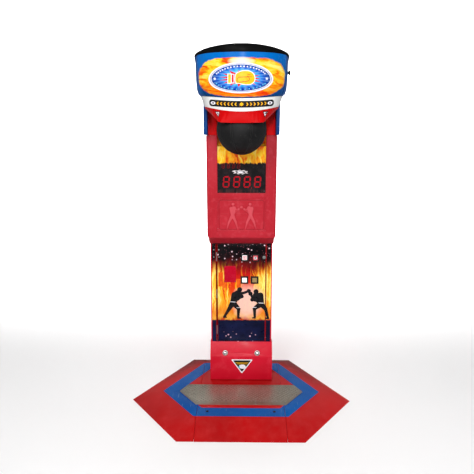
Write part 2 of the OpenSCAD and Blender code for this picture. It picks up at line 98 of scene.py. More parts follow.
def sharp(o, angle=35):
    """Smooth shading with hard creases above the angle."""
    me = o.data
    bm = bmesh.new(); bm.from_mesh(me)
    lim = math.radians(angle)
    for f in bm.faces: f.smooth = True
    for e in bm.edges:
        e.smooth = not (len(e.link_faces) != 2 or e.calc_face_angle(0) > lim)
    bm.to_mesh(me); bm.free()
    return o

def volume(me):
    t = bmesh.new(); t.from_mesh(me)
    v = t.calc_volume(signed=False); t.free()
    return v

def rounded(node, width, seg=2, angle=28, mat=None, name=None):
    """A bevelled, cleaned copy of a CAD node, standing for it in the picture. Keeps the plain facets where cleaning or bevelling would harm the shape."""
    src = N[node]; nm = name or node + "_fine"
    v0 = volume(src.data); done = None
    def area(me): return sum(p.area for p in me.polygons)
    for clean, w in ((True, width), (False, width), (False, width * 0.5), (False, 0.0)):
        bm = bmesh.new(); bm.from_mesh(src.data)
        bmesh.ops.remove_doubles(bm, verts=bm.verts[:], dist=2e-6)
        if clean and not bm_holed(bm): bmesh.ops.dissolve_limit(bm, angle_limit=math.radians(1.2), verts=bm.verts[:], edges=bm.edges[:], use_dissolve_boundaries=False)
        elif clean: bm.free(); continue
        bmesh.ops.recalc_face_normals(bm, faces=bm.faces[:])
        me = bpy.data.meshes.new(nm); bm.to_mesh(me); bm.free()
        o = link(bpy.data.objects.new(nm, me))
        if w:
            m = o.modifiers.new("b", "BEVEL")
            m.width = w; m.segments = seg; m.limit_method = "ANGLE"; m.angle_limit = math.radians(angle)
            m.use_clamp_overlap = True; m.harden_normals = False; m.miter_outer = "MITER_ARC"
            apply_mods(o)
        v1, a1, a0 = volume(o.data), area(o.data), area(src.data)
        if abs(v1 - v0) <= 0.06 * v0 and a1 <= a0 * 1.03: done = o; break
        bpy.data.objects.remove(o)
    o = done
    sharp(o, 40)
    o.data.materials.clear()
    if mat: o.data.materials.append(mat)
    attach(o, BODY[node]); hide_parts(node)
    return o

def bm_holed(bm):
    """True where a flat face of the solid has holes in it, which one polygon can't hold."""
    bm.faces.index_update(); seen = set()
    for f in bm.faces:
        if f.index in seen: continue
        grp = [f]; seen.add(f.index); k = 0
        while k < len(grp):
            for e in grp[k].edges:
                for g in e.link_faces:
                    if g.index not in seen and g.normal.dot(f.normal) > 0.99995: seen.add(g.index); grp.append(g)
            k += 1
        if len(grp) < 3: continue
        G = set(grp); E = {e for g in grp for e in g.edges}; V = {v for g in grp for v in g.verts}
        if len(V) - len(E) + len(grp) != 1: return True
    return False

def put(o, body, slot=None, *reps):
    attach(o, body)
    if reps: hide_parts(*reps)
    return o

def lathe(name, prof, n=48, mat=None, axis="z", at=(0, 0, 0), smooth_angle=40):
    """Profile (r, h) turned about an axis; ends on the axis where r is 0."""
    bm = bmesh.new()
    rings = []
    for r, h in prof:
        if r < 1e-9: rings.append([bm.verts.new((0, 0, h))])
        else: rings.append([bm.verts.new((r * math.cos(2 * math.pi * i / n), r * math.sin(2 * math.pi * i / n), h)) for i in range(n)])
    for a, b in zip(rings, rings[1:]):
        if len(a) == 1 and len(b) == 1: continue
        for i in range(n):
            j = (i + 1) % n
            if len(a) == 1: bm.faces.new((a[0], b[j], b[i]))
            elif len(b) == 1: bm.faces.new((a[i], a[j], b[0]))
            else: bm.faces.new((a[i], a[j], b[j], b[i]))
    rot = {"z": Matrix.Identity(4), "y": Matrix.Rotation(math.radians(90), 4, "X"), "x": Matrix.Rotation(math.radians(90), 4, "Y")}[axis]
    bm.transform(Matrix.Translation(at) @ rot)
    o = from_bm(name, bm, mat, True)
    return sharp(o, smooth_angle)

def rbox(name, lo, hi, r, seg=3, mat=None):
    bm = bmesh.new()
    bmesh.ops.create_cube(bm, size=1)
    c = [(a + b) / 2 for a, b in zip(lo, hi)]; s = [b - a for a, b in zip(lo, hi)]
    bm.transform(Matrix.Translation(c) @ Matrix.Diagonal((*s, 1)))
    if r: bmesh.ops.bevel(bm, geom=bm.edges[:], offset=r, segments=seg, profile=0.5, affect="EDGES", clamp_overlap=True)
    o = from_bm(name, bm, mat, True)
    return sharp(o, 40)

def join(name, objs):
    """One object from several, keeping each one's material."""
    bm = bmesh.new(); mats = []
    for o in objs:
        off = {}
        for i, m in enumerate(o.data.materials):
            if m not in mats: mats.append(m)
            off[i] = mats.index(m)
        t = bmesh.new(); t.from_mesh(o.data)
        for f in t.faces: f.material_index = off.get(f.material_index, 0)
        me = bpy.data.meshes.new("t"); t.to_mesh(me); t.free()
        bm.from_mesh(me); bpy.data.meshes.remove(me)
        bpy.data.objects.remove(o)
    me = bpy.data.meshes.new(name); bm.to_mesh(me); bm.free()
    r = link(bpy.data.objects.new(name, me))
    for m in mats: me.materials.append(m)
    return r

# ---------------------------------------------------------------- helpers: materials
class NT:
    """A small wrapper that makes node trees short to write."""
    def __init__(s, name):
        s.m = bpy.data.materials.new(name); s.m.use_nodes = True
        s.t = s.m.node_tree; s.t.nodes.clear()
        s.out = s.t.nodes.new("ShaderNodeOutputMaterial")
        s.b = s.t.nodes.new("ShaderNodeBsdfPrincipled")
        s.t.links.new(s.b.outputs[0], s.out.inputs[0])
    def n(s, kind, **kw):
        x = s.t.nodes.new("ShaderNode" + kind)
        for k, v in kw.items():
            if k in x.inputs.keys(): x.inputs[k].default_value = v
            else: setattr(x, k, v)
        return x
    def l(s, a, b): s.t.links.new(a, b)
    def coord(s, kind="Object"): return s.n("TexCoord").outputs[kind]
    def mapping(s, vec, scale=(1, 1, 1), loc=(0, 0, 0), rot=(0, 0, 0)):
        m = s.n("Mapping"); m.inputs["Scale"].default_value = scale; m.inputs["Location"].default_value = loc; m.inputs["Rotation"].default_value = rot
        s.l(vec, m.inputs[0]); return m.outputs[0]
    def noise(s, vec, scale, detail=4, rough=0.55, dist=0.0):
        x = s.n("TexNoise"); x.inputs["Scale"].default_value = scale; x.inputs["Detail"].default_value = detail
        x.inputs["Roughness"].default_value = rough; x.inputs["Distortion"].default_value = dist
        s.l(vec, x.inputs["Vector"]); return x.outputs["Fac"]
    def voro(s, vec, scale, feature="F1", out="Distance", rnd=1.0):
        x = s.n("TexVoronoi"); x.feature = feature; x.inputs["Scale"].default_value = scale; x.inputs["Randomness"].default_value = rnd
        s.l(vec, x.inputs["Vector"]); return x.outputs[out]
    def ramp(s, fac, stops, mode="LINEAR"):
        x = s.n("ValToRGB"); cr = x.color_ramp; cr.interpolation = mode
        while len(cr.elements) > 1: cr.elements.remove(cr.elements[-1])
        cr.elements[0].position = stops[0][0]; cr.elements[0].color = col(stops[0][1])
        for p, c in stops[1:]:
            e = cr.elements.new(p); e.color = col(c)
        s.l(fac, x.inputs[0]); return x.outputs[0]
    def math(s, op, a, b=None, c=None, clamp=False):
        x = s.n("Math", operation=op, use_clamp=clamp)
        for i, v in enumerate((a, b, c)):
            if v is None: continue
            if isinstance(v, (int, float)): x.inputs[i].default_value = v
            else: s.l(v, x.inputs[i])
        return x.outputs[0]
    def rng(s, v, a, b, c=0.0, d=1.0, smooth=False):
        x = s.n("MapRange"); x.clamp = True
        if smooth: x.interpolation_type = "SMOOTHSTEP"
        for i, q in zip(("From Min", "From Max", "To Min", "To Max"), (a, b, c, d)): x.inputs[i].default_value = q
        s.l(v, x.inputs["Value"]); return x.outputs["Result"]
    def mix(s, fac, a, b, mode="MIX"):
        x = s.n("Mix", data_type="RGBA", blend_type=mode)
        for i, v in ((0, fac), (6, a), (7, b)):
            if hasattr(v, "is_linked") or isinstance(v, bpy.types.NodeSocket): s.l(v, x.inputs[i])
            elif i == 0: x.inputs[i].default_value = v
            else: x.inputs[i].default_value = col(v)
        return x.outputs[2]
    def sep(s, vec):
        x = s.n("SeparateXYZ"); s.l(vec, x.inputs[0]); return x.outputs
    def comb(s, x_, y_, z_):
        x = s.n("CombineXYZ")
        for i, v in enumerate((x_, y_, z_)):
            if isinstance(v, (int, float)): x.inputs[i].default_value = v
            else: s.l(v, x.inputs[i])
        return x.outputs[0]
    def bump(s, h, strength=0.2, dist=0.001, normal=None):
        x = s.n("Bump"); x.inputs["Strength"].default_value = strength; x.inputs["Distance"].default_value = dist
        s.l(h, x.inputs["Height"])
        if normal is not None: s.l(normal, x.inputs["Normal"])
        return x.outputs[0]
    def set(s, **kw):
        names = {"color": "Base Color", "rough": "Roughness", "metal": "Metallic", "normal": "Normal", "coat": "Coat Weight", "coat_rough": "Coat Roughness",
                 "spec": "Specular IOR Level", "emit": "Emission Color", "emit_s": "Emission Strength", "trans": "Transmission Weight", "ior": "IOR", "alpha": "Alpha", "sheen": "Sheen Weight",
                 "aniso": "Anisotropic", "sheen_rough": "Sheen Roughness"}
        for k, v in kw.items():
            i = s.b.inputs[names[k]]
            if isinstance(v, bpy.types.NodeSocket): s.l(v, i)
            elif k in ("color", "emit"): i.default_value = col(v)
            else: i.default_value = v
        return s

def lin(c):
    return c / 12.92 if c <= 0.04045 else ((c + 0.055) / 1.055) ** 2.4

def col(c):
    """sRGB 0..255 triple or linear 0..1 triple to RGBA."""
    if len(c) == 4: return tuple(c)
    if max(c) > 1.0: return (lin(c[0] / 255), lin(c[1] / 255), lin(c[2] / 255), 1)
    return (c[0], c[1], c[2], 1)

def coated(name, base, dark, light, rough=0.32, peel=0.06, coat=0.25, dust=0.12, scale=1.0):
    """Painted or moulded surface: colour drift, fine orange peel, soft smudges, rare scratches, dust that gathers on level faces."""
    t = NT(name); c = t.coord()
    big = t.noise(c, 2.3 * scale, 3, 0.5)
    mid = t.noise(c, 19 * scale, 5, 0.6)
    fine = t.noise(c, 420 * scale, 3, 0.6)
    cc = t.mix(t.rng(big, 0.3, 0.7), dark, base)
    cc = t.mix(t.rng(mid, 0.52, 0.75, 0, 0.28), cc, light)
    st = t.noise(t.mapping(c, (1, 1, 0.06), rot=(0.2, 0.3, 0.4)), 160 * scale, 3, 0.5)
    scr = t.rng(st, 0.705, 0.725)
    scr = t.math("MULTIPLY", scr, t.rng(mid, 0.5, 0.7))
    cc = t.mix(t.math("MULTIPLY", scr, 0.35), cc, light)
    g = t.n("NewGeometry"); nz = t.sep(g.outputs["Normal"])[2]
    du = t.math("MULTIPLY", t.rng(nz, 0.6, 1.0), t.rng(mid, 0.35, 0.7, 0.2, 1))
    cc = t.mix(t.math("MULTIPLY", du, dust), cc, (0.36, 0.33, 0.3))
    r = t.math("ADD", t.rng(mid, 0.3, 0.7, rough - 0.06, rough + 0.09), t.math("MULTIPLY", scr, 0.15))
    r = t.math("ADD", r, t.math("MULTIPLY", du, dust * 1.5), clamp=True)
    bn = t.bump(fine, peel, 0.0006)
    bn = t.bump(mid, 0.05, 0.002, bn)
    t.set(color=cc, rough=r, normal=bn)
    t.b.inputs["Coat Weight"].default_value = coat
    t.b.inputs["Coat Roughness"].default_value = 0.12
    return t.m

def metal(name, base, rough=0.32, brushed=0.0, axis=2, dark=(0.2, 0.2, 0.2)):
    t = NT(name); c = t.coord()
    sc = [1.0, 1.0, 1.0]; sc[axis] = 0.03
    st = t.noise(t.mapping(c, tuple(sc)), 900, 4, 0.6)
    mid = t.noise(c, 26, 5, 0.65)
    cc = t.mix(t.rng(mid, 0.35, 0.8, 0, 0.5), base, dark)
    r = t.math("ADD", t.rng(mid, 0.3, 0.75, rough - 0.08, rough + 0.14), t.math("MULTIPLY", st, 0.1 * (1 + brushed)))
    t.set(color=cc, rough=r, normal=t.bump(st, 0.05 + 0.15 * brushed, 0.0004))
    t.b.inputs["Metallic"].default_value = 1.0
    return t.m

def plastic(name, base, rough=0.4, var=0.25, grain=600, bump=0.1, coat=0.0):
    t = NT(name); c = t.coord()
    mid = t.noise(c, 24, 5, 0.6); fine = t.noise(c, grain, 2, 0.5)
    b = col(base)
    cc = t.mix(t.rng(mid, 0.35, 0.75, 0, var), base, (min(1, b[0] * 1.6 + 0.012), min(1, b[1] * 1.6 + 0.012), min(1, b[2] * 1.6 + 0.012)))
    t.set(color=cc, rough=t.rng(mid, 0.3, 0.7, rough - 0.06, rough + 0.08), normal=t.bump(fine, bump, 0.0005))
    t.b.inputs["Coat Weight"].default_value = coat
    return t.m

# ---------------------------------------------------------------- materials
RED = coated("red_paint", (198, 4, 10), (172, 2, 7), (210, 24, 30), rough=0.4, peel=0.05, coat=0.08, dust=0.05)
def back_shade(m):
    """Painted shade: darker paint on the slopes that face the rear, standing in for the shade that falls on them; not a
    measured wear pattern.
    """
    nt = m.node_tree; b = nt.nodes["Principled BSDF"]; src = b.inputs["Base Color"].links[0].from_socket
    g = nt.nodes.new("ShaderNodeNewGeometry"); sx = nt.nodes.new("ShaderNodeSeparateXYZ"); nt.links.new(g.outputs["Normal"], sx.inputs[0])
    mr = nt.nodes.new("ShaderNodeMapRange"); mr.inputs["From Min"].default_value = 0.06; mr.inputs["From Max"].default_value = 0.3; mr.inputs["To Max"].default_value = 0.72
    nt.links.new(sx.outputs[1], mr.inputs["Value"])
    mx = nt.nodes.new("ShaderNodeMix"); mx.data_type = "RGBA"; nt.links.new(mr.outputs["Result"], mx.inputs[0]); nt.links.new(src, mx.inputs[6]); mx.inputs[7].default_value = (0.09, 0.003, 0.004, 1)
    nt.links.new(mx.outputs[2], b.inputs["Base Color"])
    return m
RED = back_shade(RED)
RED2 = coated("red_column_paint", (222, 26, 54), (200, 16, 40), (232, 70, 88), rough=0.36, peel=0.05, coat=0.12)
MOULD = coated("red_moulding_plastic", (184, 38, 52), (168, 24, 38), (210, 84, 96), rough=0.48, peel=0.14, coat=0.06, scale=1.4)
DARKRED = coated("dark_red_paint", (176, 6, 12), (144, 3, 8), (192, 30, 36), rough=0.34, peel=0.05)
LIPRED = coated("lip_red_plastic", (198, 5, 8), (176, 3, 6), (214, 30, 32), rough=0.42, peel=0.05, coat=0.08)
BLUE = coated("blue_plastic", (0, 84, 160), (0, 64, 132), (30, 118, 192), rough=0.36, peel=0.06, coat=0.12)
BLUED = coated("blue_board_paint", (2, 70, 140), (1, 50, 112), (30, 100, 170), rough=0.4, peel=0.08, coat=0.06)
BLACKP = plastic("black_plastic", (0.012, 0.012, 0.012), 0.45, 0.3, 500, 0.12)
BLACKG = coated("crown_black_plastic", (0.004, 0.004, 0.004), (0.003, 0.003, 0.003), (0.014, 0.014, 0.014), rough=0.32, peel=0.04, coat=0.05, dust=0.02)
STEEL = metal("zinc_steel", (0.5, 0.5, 0.49), 0.36, 0.4, 0)
STEELX = metal("ground_steel", (0.55, 0.55, 0.55), 0.24, 0.5, 0)
CHROME = metal("polished_steel", (0.8, 0.8, 0.78), 0.14, 0.1, 2)
DARKSTEEL = metal("dark_steel", (0.12, 0.12, 0.125), 0.42, 0.3, 0, (0.05, 0.05, 0.05))
PCB = plastic("green_circuit_board", (0.01, 0.12, 0.035), 0.35, 0.5, 300, 0.2, 0.4)
FOAM = plastic("foam_rubber", (0.018, 0.018, 0.018), 0.85, 0.6, 260, 0.6)
COIL = plastic("coil_winding", (0.28, 0.09, 0.02), 0.35, 0.5, 900, 0.4, 0.5)
CRIMSON = coated("crimson_enamel", (196, 2, 44), (178, 0, 34), (212, 20, 60), rough=0.26, peel=0.04, coat=0.4)

def band_mat():
    t = NT("blue_floor_strip"); c = t.coord()
    grit = t.voro(c, 520, "F1"); mid = t.noise(c, 14, 5, 0.65); big = t.noise(c, 2.2, 3)
    cc = t.mix(t.rng(big, 0.3, 0.7), (0, 74, 150), (0, 90, 170))
    cc = t.mix(t.rng(mid, 0.52, 0.78, 0, 0.45), cc, (52, 110, 168))
    sc = t.noise(t.mapping(c, (1, 0.08, 1), rot=(0, 0, 0.5)), 110, 3)
    cc = t.mix(t.rng(sc, 0.66, 0.72, 0, 0.4), cc, (120, 150, 180))
    t.set(color=cc, rough=t.rng(mid, 0.3, 0.7, 0.5, 0.68), normal=t.bump(t.rng(grit, 0, 0.6, 1, 0), 0.35, 0.0012))
    return t.m
BAND = band_mat()

def tread_mat():
    t = NT("checker_plate_metal"); c = t.coord()
    mid = t.noise(c, 11, 6, 0.68); fine = t.noise(c, 240, 4, 0.6); big = t.noise(c, 3.0, 3)
    cc = t.mix(t.rng(mid, 0.34, 0.72), (0.56, 0.53, 0.44), (0.36, 0.33, 0.26))
    cc = t.mix(t.rng(big, 0.45, 0.75, 0, 0.45), cc, (0.3, 0.25, 0.2))
    g = t.n("NewGeometry"); z = t.sep(c)[2]
    high = t.rng(z, 0.0583, 0.0592)
    cc = t.mix(t.math("MULTIPLY", high, 0.7), cc, (0.78, 0.77, 0.72))
    r = t.math("SUBTRACT", t.rng(mid, 0.3, 0.75, 0.27, 0.5), t.math("MULTIPLY", high, 0.1))
    t.set(color=cc, rough=r, normal=t.bump(fine, 0.12, 0.0005))
    t.b.inputs["Metallic"].default_value = 0.9
    return t.m
TREAD = tread_mat()

def leather():
    t = NT("black_ball_leather"); c = t.coord()
    v1 = t.voro(c, 300, "DISTANCE_TO_EDGE"); v2 = t.voro(t.mapping(c, (1, 1, 1), (0.3, 0.1, 0)), 120, "DISTANCE_TO_EDGE")
    mid = t.noise(c, 13, 5, 0.62); big = t.noise(c, 4, 3)
    grain = t.math("ADD", t.rng(v1, 0, 0.22), t.math("MULTIPLY", t.rng(v2, 0, 0.3), 0.5))
    cc = t.mix(t.rng(mid, 0.35, 0.75), (0.007, 0.007, 0.0075), (0.016, 0.0155, 0.016))
    cc = t.mix(t.rng(t.noise(c, 60, 3), 0.64, 0.72, 0, 0.35), cc, (0.06, 0.056, 0.052))
    t.set(color=cc, rough=t.rng(mid, 0.3, 0.7, 0.44, 0.6), normal=t.bump(t.noise(c, 70, 4), 0.06, 0.002, t.bump(grain, 0.16, 0.0007)))
    t.b.inputs["Specular IOR Level"].default_value = 0.3
    return t.m
LEATHER = leather()
THREAD = plastic("waxed_thread", (0.035, 0.034, 0.033), 0.6, 0.4, 900, 0.3)

def lens(name, c1, c2, emit=0.0, rough=0.2):
    t = NT(name); c = t.coord()
    v = t.voro(c, 420, "F1", rnd=0.15); mid = t.noise(c, 40, 3)
    cc = t.mix(t.rng(mid, 0.35, 0.7), c1, c2)
    t.set(color=cc, rough=t.rng(mid, 0.3, 0.7, rough, rough + 0.12), normal=t.bump(v, 0.12, 0.0006), emit=cc)
    t.b.inputs["Emission Strength"].default_value = emit
    t.b.inputs["Coat Weight"].default_value = 0.5
    t.b.inputs["Coat Roughness"].default_value = 0.06
    return t.m
L_WHITE = lens("white_lens", (0.9, 0.9, 0.9), (0.8, 0.8, 0.82), 0.55)
L_AMBER = lens("amber_lens", (0.36, 0.25, 0.09), (0.28, 0.19, 0.07), 0.05)
L_RED = lens("red_lens", (0.75, 0.05, 0.08), (0.6, 0.03, 0.05), 0.15)
L_PINK = lens("pale_red_lens", (0.9, 0.42, 0.42), (0.85, 0.25, 0.28), 0.2)

for m_, v_ in ((RED, 0.16), (RED2, 0.34), (MOULD, 0.34), (LIPRED, 0.3), (BLACKG, 0.2), (BLUE, 0.3), (BLUED, 0.3), (BAND, 0.25), (DARKRED, 0.28), (BLACKP, 0.3)):
    m_.node_tree.nodes["Principled BSDF"].inputs["Specular IOR Level"].default_value = v_

# ---------------------------------------------------------------- floor and light
def floor():
    bm = bmesh.new()
    S = 14.0
    y1, r = 3.6, 1.2
    prof = [(-S, 0.0), (y1, 0.0)] + [(y1 + r * math.sin(a), r - r * math.cos(a)) for a in [math.pi / 2 * k / 16 for k in range(1, 17)]] + [(y1 + r, 9.0)]
    rows = [[bm.verts.new((x, y, z)) for y, z in prof] for x in (-S, S)]
    for i in range(len(prof) - 1):
        bm.faces.new((rows[0][i], rows[1][i], rows[1][i + 1], rows[0][i + 1]))
    o = from_bm("studio_floor", bm, None, True)
    t = NT("pale_floor"); c = t.coord()
    n = t.noise(c, 1.2, 4)
    t.set(color=t.mix(n, (0.94, 0.94, 0.94), (0.96, 0.96, 0.96)), rough=t.rng(n, 0.3, 0.7, 0.7, 0.85))
    o.data.materials.append(t.m)
    o.visible_glossy = False
floor()

def area(name, loc, target, size, power, color=(1, 1, 1), size_y=None):
    d = bpy.data.lights.new(name, "AREA"); d.energy = power; d.size = size; d.color = color
    if size_y: d.shape = "RECTANGLE"; d.size_y = size_y
    o = link(bpy.data.objects.new(name, d)); o.location = loc
    o.rotation_euler = (Vector(target) - Vector(loc)).to_track_quat("-Z", "Y").to_euler()
    return o
area("key", (-1.5, -3.6, 3.1), (0, 0, 1.1), 1.5, 74)
area("fill", (2.6, -3.0, 2.2), (0, 0, 1.0), 2.2, 30)
area("flash", (0.1, -3.0, 2.5), (0, 0, 1.1), 0.35, 44)
area("top", (0, 0.2, 4.6), (0, 0, 0), 3.0, 8)
wl = area("wall", (0, 0.9, 5.6), (0, 4.4, 1.5), 7.0, 330, size_y=2.0); wl.data.spread = math.radians(80)
area("back", (0.0, 3.2, 3.6), (0, 0.3, 1.4), 2.4, 2)
w = bpy.data.worlds.new("w"); scene.world = w; w.use_nodes = True
w.node_tree.nodes["Background"].inputs[0].default_value = (1, 1, 1, 1)
w.node_tree.nodes["Background"].inputs[1].default_value = 0.3
scene.view_settings.view_transform = "Standard"

# ---------------------------------------------------------------- simple bevelled shells
BASEM = {"base_centre": RED, "base_wing_left": DARKRED, "base_wing_right": DARKRED}
for n_ in ("base_centre", "base_wing_left", "base_wing_right"): rounded(n_, 0.0016, 3, mat=RED)
rounded("column_sides", 0.0012, 2, mat=RED2)
rounded("column_back", 0.0008, 2, mat=RED2)
rounded("kick_cover", 0.0035, 3, angle=12, mat=RED2)
rounded("upper_sides", 0.0012, 2, mat=RED2)
rounded("upper_back", 0.0008, 2, mat=RED2)
rounded("front_moulding", 0.004, 3, angle=24, mat=MOULD)
for n_ in ("head_side_left", "head_side_right"): rounded(n_, 0.002, 3, mat=BLUED)
# the cheeks take a brighter red than the other paint: painted light, making up for the shade they sit in under the head
rounded("cheeks", 0.001, 2, mat=coated("cheek_red_paint", (236, 10, 18), (214, 6, 12), (240, 40, 46), rough=0.4, peel=0.05, coat=0.1))
rounded("head_back", 0.001, 2, mat=BLUED)
rounded("scoop_panel", 0.0006, 2, mat=BLACKP)
rounded("rear_door", 0.001, 2, mat=RED2)
rounded("base_bearers", 0.0008, 1, mat=DARKSTEEL)
for n_, m_ in (("bearing_plates", STEEL), ("bearings", STEELX), ("pivot_shaft", STEELX), ("swing_arm", DARKSTEEL), ("latch_hook", STEEL), ("solenoid", COIL), ("solenoid_plunger", STEELX),
               ("head_lamp", L_WHITE), ("speaker", BLACKP), ("hinge_frame_knuckles", STEEL), ("hinge_door_knuckles", STEEL), ("rear_hinges", STEEL), ("rear_lock", CHROME),
               ("mains_inlet", BLACKP), ("cash_box", STEEL), ("power_supply", STEEL), ("control_board", PCB), ("coin_mechs", BLACKP), ("display_board", PCB)):
    rounded(n_, 0.0005, 1, mat=m_)

# ---------------------------------------------------------------- head
rounded("crown", 0.0014, 3, angle=24, mat=BLACKG)
rounded("marquee_shell", 0.0012, 2, angle=30, mat=BLUE)
rounded("lip", 0.0022, 3, angle=14, mat=LIPRED)

def ring(w, yf, ys, yr, zc, zs, zr=None, wp=None, d=0.0, n=96):
    b = ys - yf; R = (w * w + b * b) / (2 * b); yc = yf + R
    A = math.asin((wp or w) / R); M = []
    for i in range(n + 1):
        a = -A + 2 * A * i / n; x = R * math.sin(a)
        M.append(((R + d) * math.sin(a), yc - (R + d) * math.cos(a), zc + (zs - zc) * (x / w) ** 2))
    if wp: return M
    e = zs if zr is None else zr
    return [(-w, yr, e)] + M + [(w, yr, e)]
MQ = [(228, -311, 1851, 1876), (241, -317, 1866, 1888), (249, -320, 1896, 1914), (253, -322, 1950, 1962), (255, -323, 2074, 2083)]

def lerp(a, b, t): return tuple(x + (y - x) * t for x, y in zip(a, b))
def grid_skin(name, outer, inner, mat):
    """Closed skin between two stacks of rings (mm)."""
    m, n = len(outer), len(outer[0])
    V = [Vector(p) * 0.001 for r in outer for p in r] + [Vector(p) * 0.001 for r in inner for p in r]
    o = lambda k, i: k * n + i
    q = lambda k, i: m * n + k * n + i
    F = []
    for k in range(m - 1):
        for i in range(n - 1):
            F.append((o(k, i), o(k, i + 1), o(k + 1, i + 1), o(k + 1, i)))
            F.append((q(k, i), q(k + 1, i), q(k + 1, i + 1), q(k, i + 1)))
    for i in range(n - 1):
        F.append((o(0, i), q(0, i), q(0, i + 1), o(0, i + 1)))
        F.append((o(m - 1, i), o(m - 1, i + 1), q(m - 1, i + 1), q(m - 1, i)))
    for k in range(m - 1):
        F.append((o(k, 0), o(k + 1, 0), q(k + 1, 0), q(k, 0)))
        F.append((o(k, n - 1), q(k, n - 1), q(k + 1, n - 1), o(k + 1, n - 1)))
    ob = mesh_obj(name, V, F, mat)
    bm = bmesh.new(); bm.from_mesh(ob.data); bmesh.ops.recalc_face_normals(bm, faces=bm.faces[:]); bm.to_mesh(ob.data); bm.free()
    return sharp(ob, 35)

def fine(levels, k=4):
    """Smooth in-between levels."""
    out = []
    L = [levels[0]] + list(levels) + [levels[-1]]
    for i in range(1, len(L) - 2):
        p0, p1, p2, p3 = L[i - 1], L[i], L[i + 1], L[i + 2]
        for j in range(k):
            t = j / k
            out.append(tuple(0.5 * (2 * b + (c - a) * t + (2 * a - 5 * b + 4 * c - d) * t * t + (3 * b - a - 3 * c + d) * t ** 3) for a, b, c, d in zip(p0, p1, p2, p3)))
    out.append(levels[-1])
    return out

def flame_field(t, c, low=(206, 14, 10), mid=(246, 96, 12), high=(255, 196, 34), hot=(255, 240, 170), sc=1.0):
    """Licking flames that rise along Z."""
    x, y, z = t.sep(c)
    w = t.noise(t.mapping(c, (6 * sc, 1, 3.2 * sc)), 1.6, 4, 0.6)
    wx = t.math("ADD", x, t.math("MULTIPLY", t.math("SUBTRACT", w, 0.5), 0.16 / sc))
    v = t.comb(t.math("MULTIPLY", wx, 26 * sc), 0.0, t.math("MULTIPLY", z, 6.5 * sc))
    a = t.noise(v, 1.0, 5, 0.62, 0.9)
    v2 = t.comb(t.math("MULTIPLY", wx, 60 * sc), 3.0, t.math("MULTIPLY", z, 14 * sc))
    b = t.noise(v2, 1.0, 3, 0.6, 0.5)
    f = t.math("ADD", t.math("MULTIPLY", a, 0.75), t.math("MULTIPLY", b, 0.25))
    return t.ramp(f, [(0.33, low), (0.43, mid), (0.52, high), (0.66, hot)]), f

def smooth_box(t, v, a, b, e):
    """1 inside [a, b], soft by e."""
    return t.math("MULTIPLY", t.rng(v, a - e, a + e, smooth=True), t.rng(v, b - e, b + e, 1, 0, smooth=True))

def marquee_mat():
    t = NT("marquee_artwork"); c = t.coord(); x, y, z = t.sep(c)
    fl, f = flame_field(t, t.mapping(c, (0.42, 1, 2.6), rot=(0, 0.35, 0)), (206, 22, 8), (244, 104, 8), (252, 196, 24), (255, 226, 120), 1.0)
    n1 = t.noise(c, 9, 4, 0.6)
    bl = t.mix(t.rng(z, 1.87, 2.06), (0, 54, 108), (0, 98, 180))
    bl = t.mix(t.rng(n1, 0.5, 0.75, 0, 0.3), bl, (20, 124, 214))
    # lens-shaped flame field with ragged edges
    wob = t.math("MULTIPLY", t.math("SUBTRACT", t.noise(t.mapping(c, (1, 1, 1)), 20, 4, 0.6), 0.5), 0.5)
    ex = t.math("DIVIDE", x, 0.23); zc_ = t.math("SUBTRACT", z, t.math("ADD", 1.952, t.math("MULTIPLY", t.math("MULTIPLY", x, x), 0.35))); ez_ = t.math("DIVIDE", zc_, 0.095)
    rr_ = t.math("ADD", t.math("POWER", t.math("ABSOLUTE", ex), 3.2), t.math("POWER", t.math("ABSOLUTE", ez_), 2.7))
    mask = t.rng(t.math("ADD", rr_, wob), 0.9, 1.06, 1, 0, smooth=True)
    zl = t.math("SUBTRACT", z, t.math("MULTIPLY", t.math("MULTIPLY", x, x), 0.35))
    hot = t.math("MULTIPLY", t.rng(t.noise(t.mapping(c, (1, 1, 2.2), (0.4, 0, 0.2)), 8, 3, 0.5), 0.5, 0.66), t.rng(t.math("ABSOLUTE", ez_), 0.35, 0.8, 0.0, 0.85))
    fl = t.mix(hot, fl, (198, 16, 6))
    cc = t.mix(mask, bl, fl)
    # painted highlight: a pale flare at the top centre
    dx = t.math("DIVIDE", x, 0.075); dz = t.math("DIVIDE", t.math("SUBTRACT", z, 2.03), 0.022)
    r2 = t.math("ADD", t.math("MULTIPLY", dx, dx), t.math("MULTIPLY", dz, dz))
    cc = t.mix(t.rng(r2, 0.0, 1.0, 0.9, 0), cc, (255, 250, 214))
    # darker red roots along the lower edge
    cc = t.mix(t.math("MULTIPLY", mask, t.rng(zl, 1.875, 1.93, 0.6, 0)), cc, (196, 20, 8))
    dirt = t.noise(c, 70, 4, 0.6)
    cc = t.mix(t.rng(dirt, 0.6, 0.75, 0, 0.14), cc, (40, 40, 44))
    t.set(color=cc, rough=t.rng(n1, 0.3, 0.7, 0.22, 0.34), normal=t.bump(t.noise(c, 500, 2), 0.03, 0.0005), emit=cc)
    t.b.inputs["Emission Strength"].default_value = 0.05
    t.b.inputs["Coat Weight"].default_value = 0.35
    t.b.inputs["Coat Roughness"].default_value = 0.1
    return t.m
MQM = marquee_mat()
lv = fine(MQ, 5)
mp = grid_skin("marquee_face", [ring(m[0], m[1], -100, 0, m[2] + (0.6 if i == 0 else 0), m[3] + (0.6 if i == 0 else 0), None, m[0] * 0.925, 2.6) for i, m in enumerate(lv)],
               [ring(m[0], m[1], -100, 0, m[2], m[3], None, m[0] * 0.93, 0.6) for m in lv], MQM)
put(mp, "cabinet", SLOT["marquee_panel"], "marquee_panel")

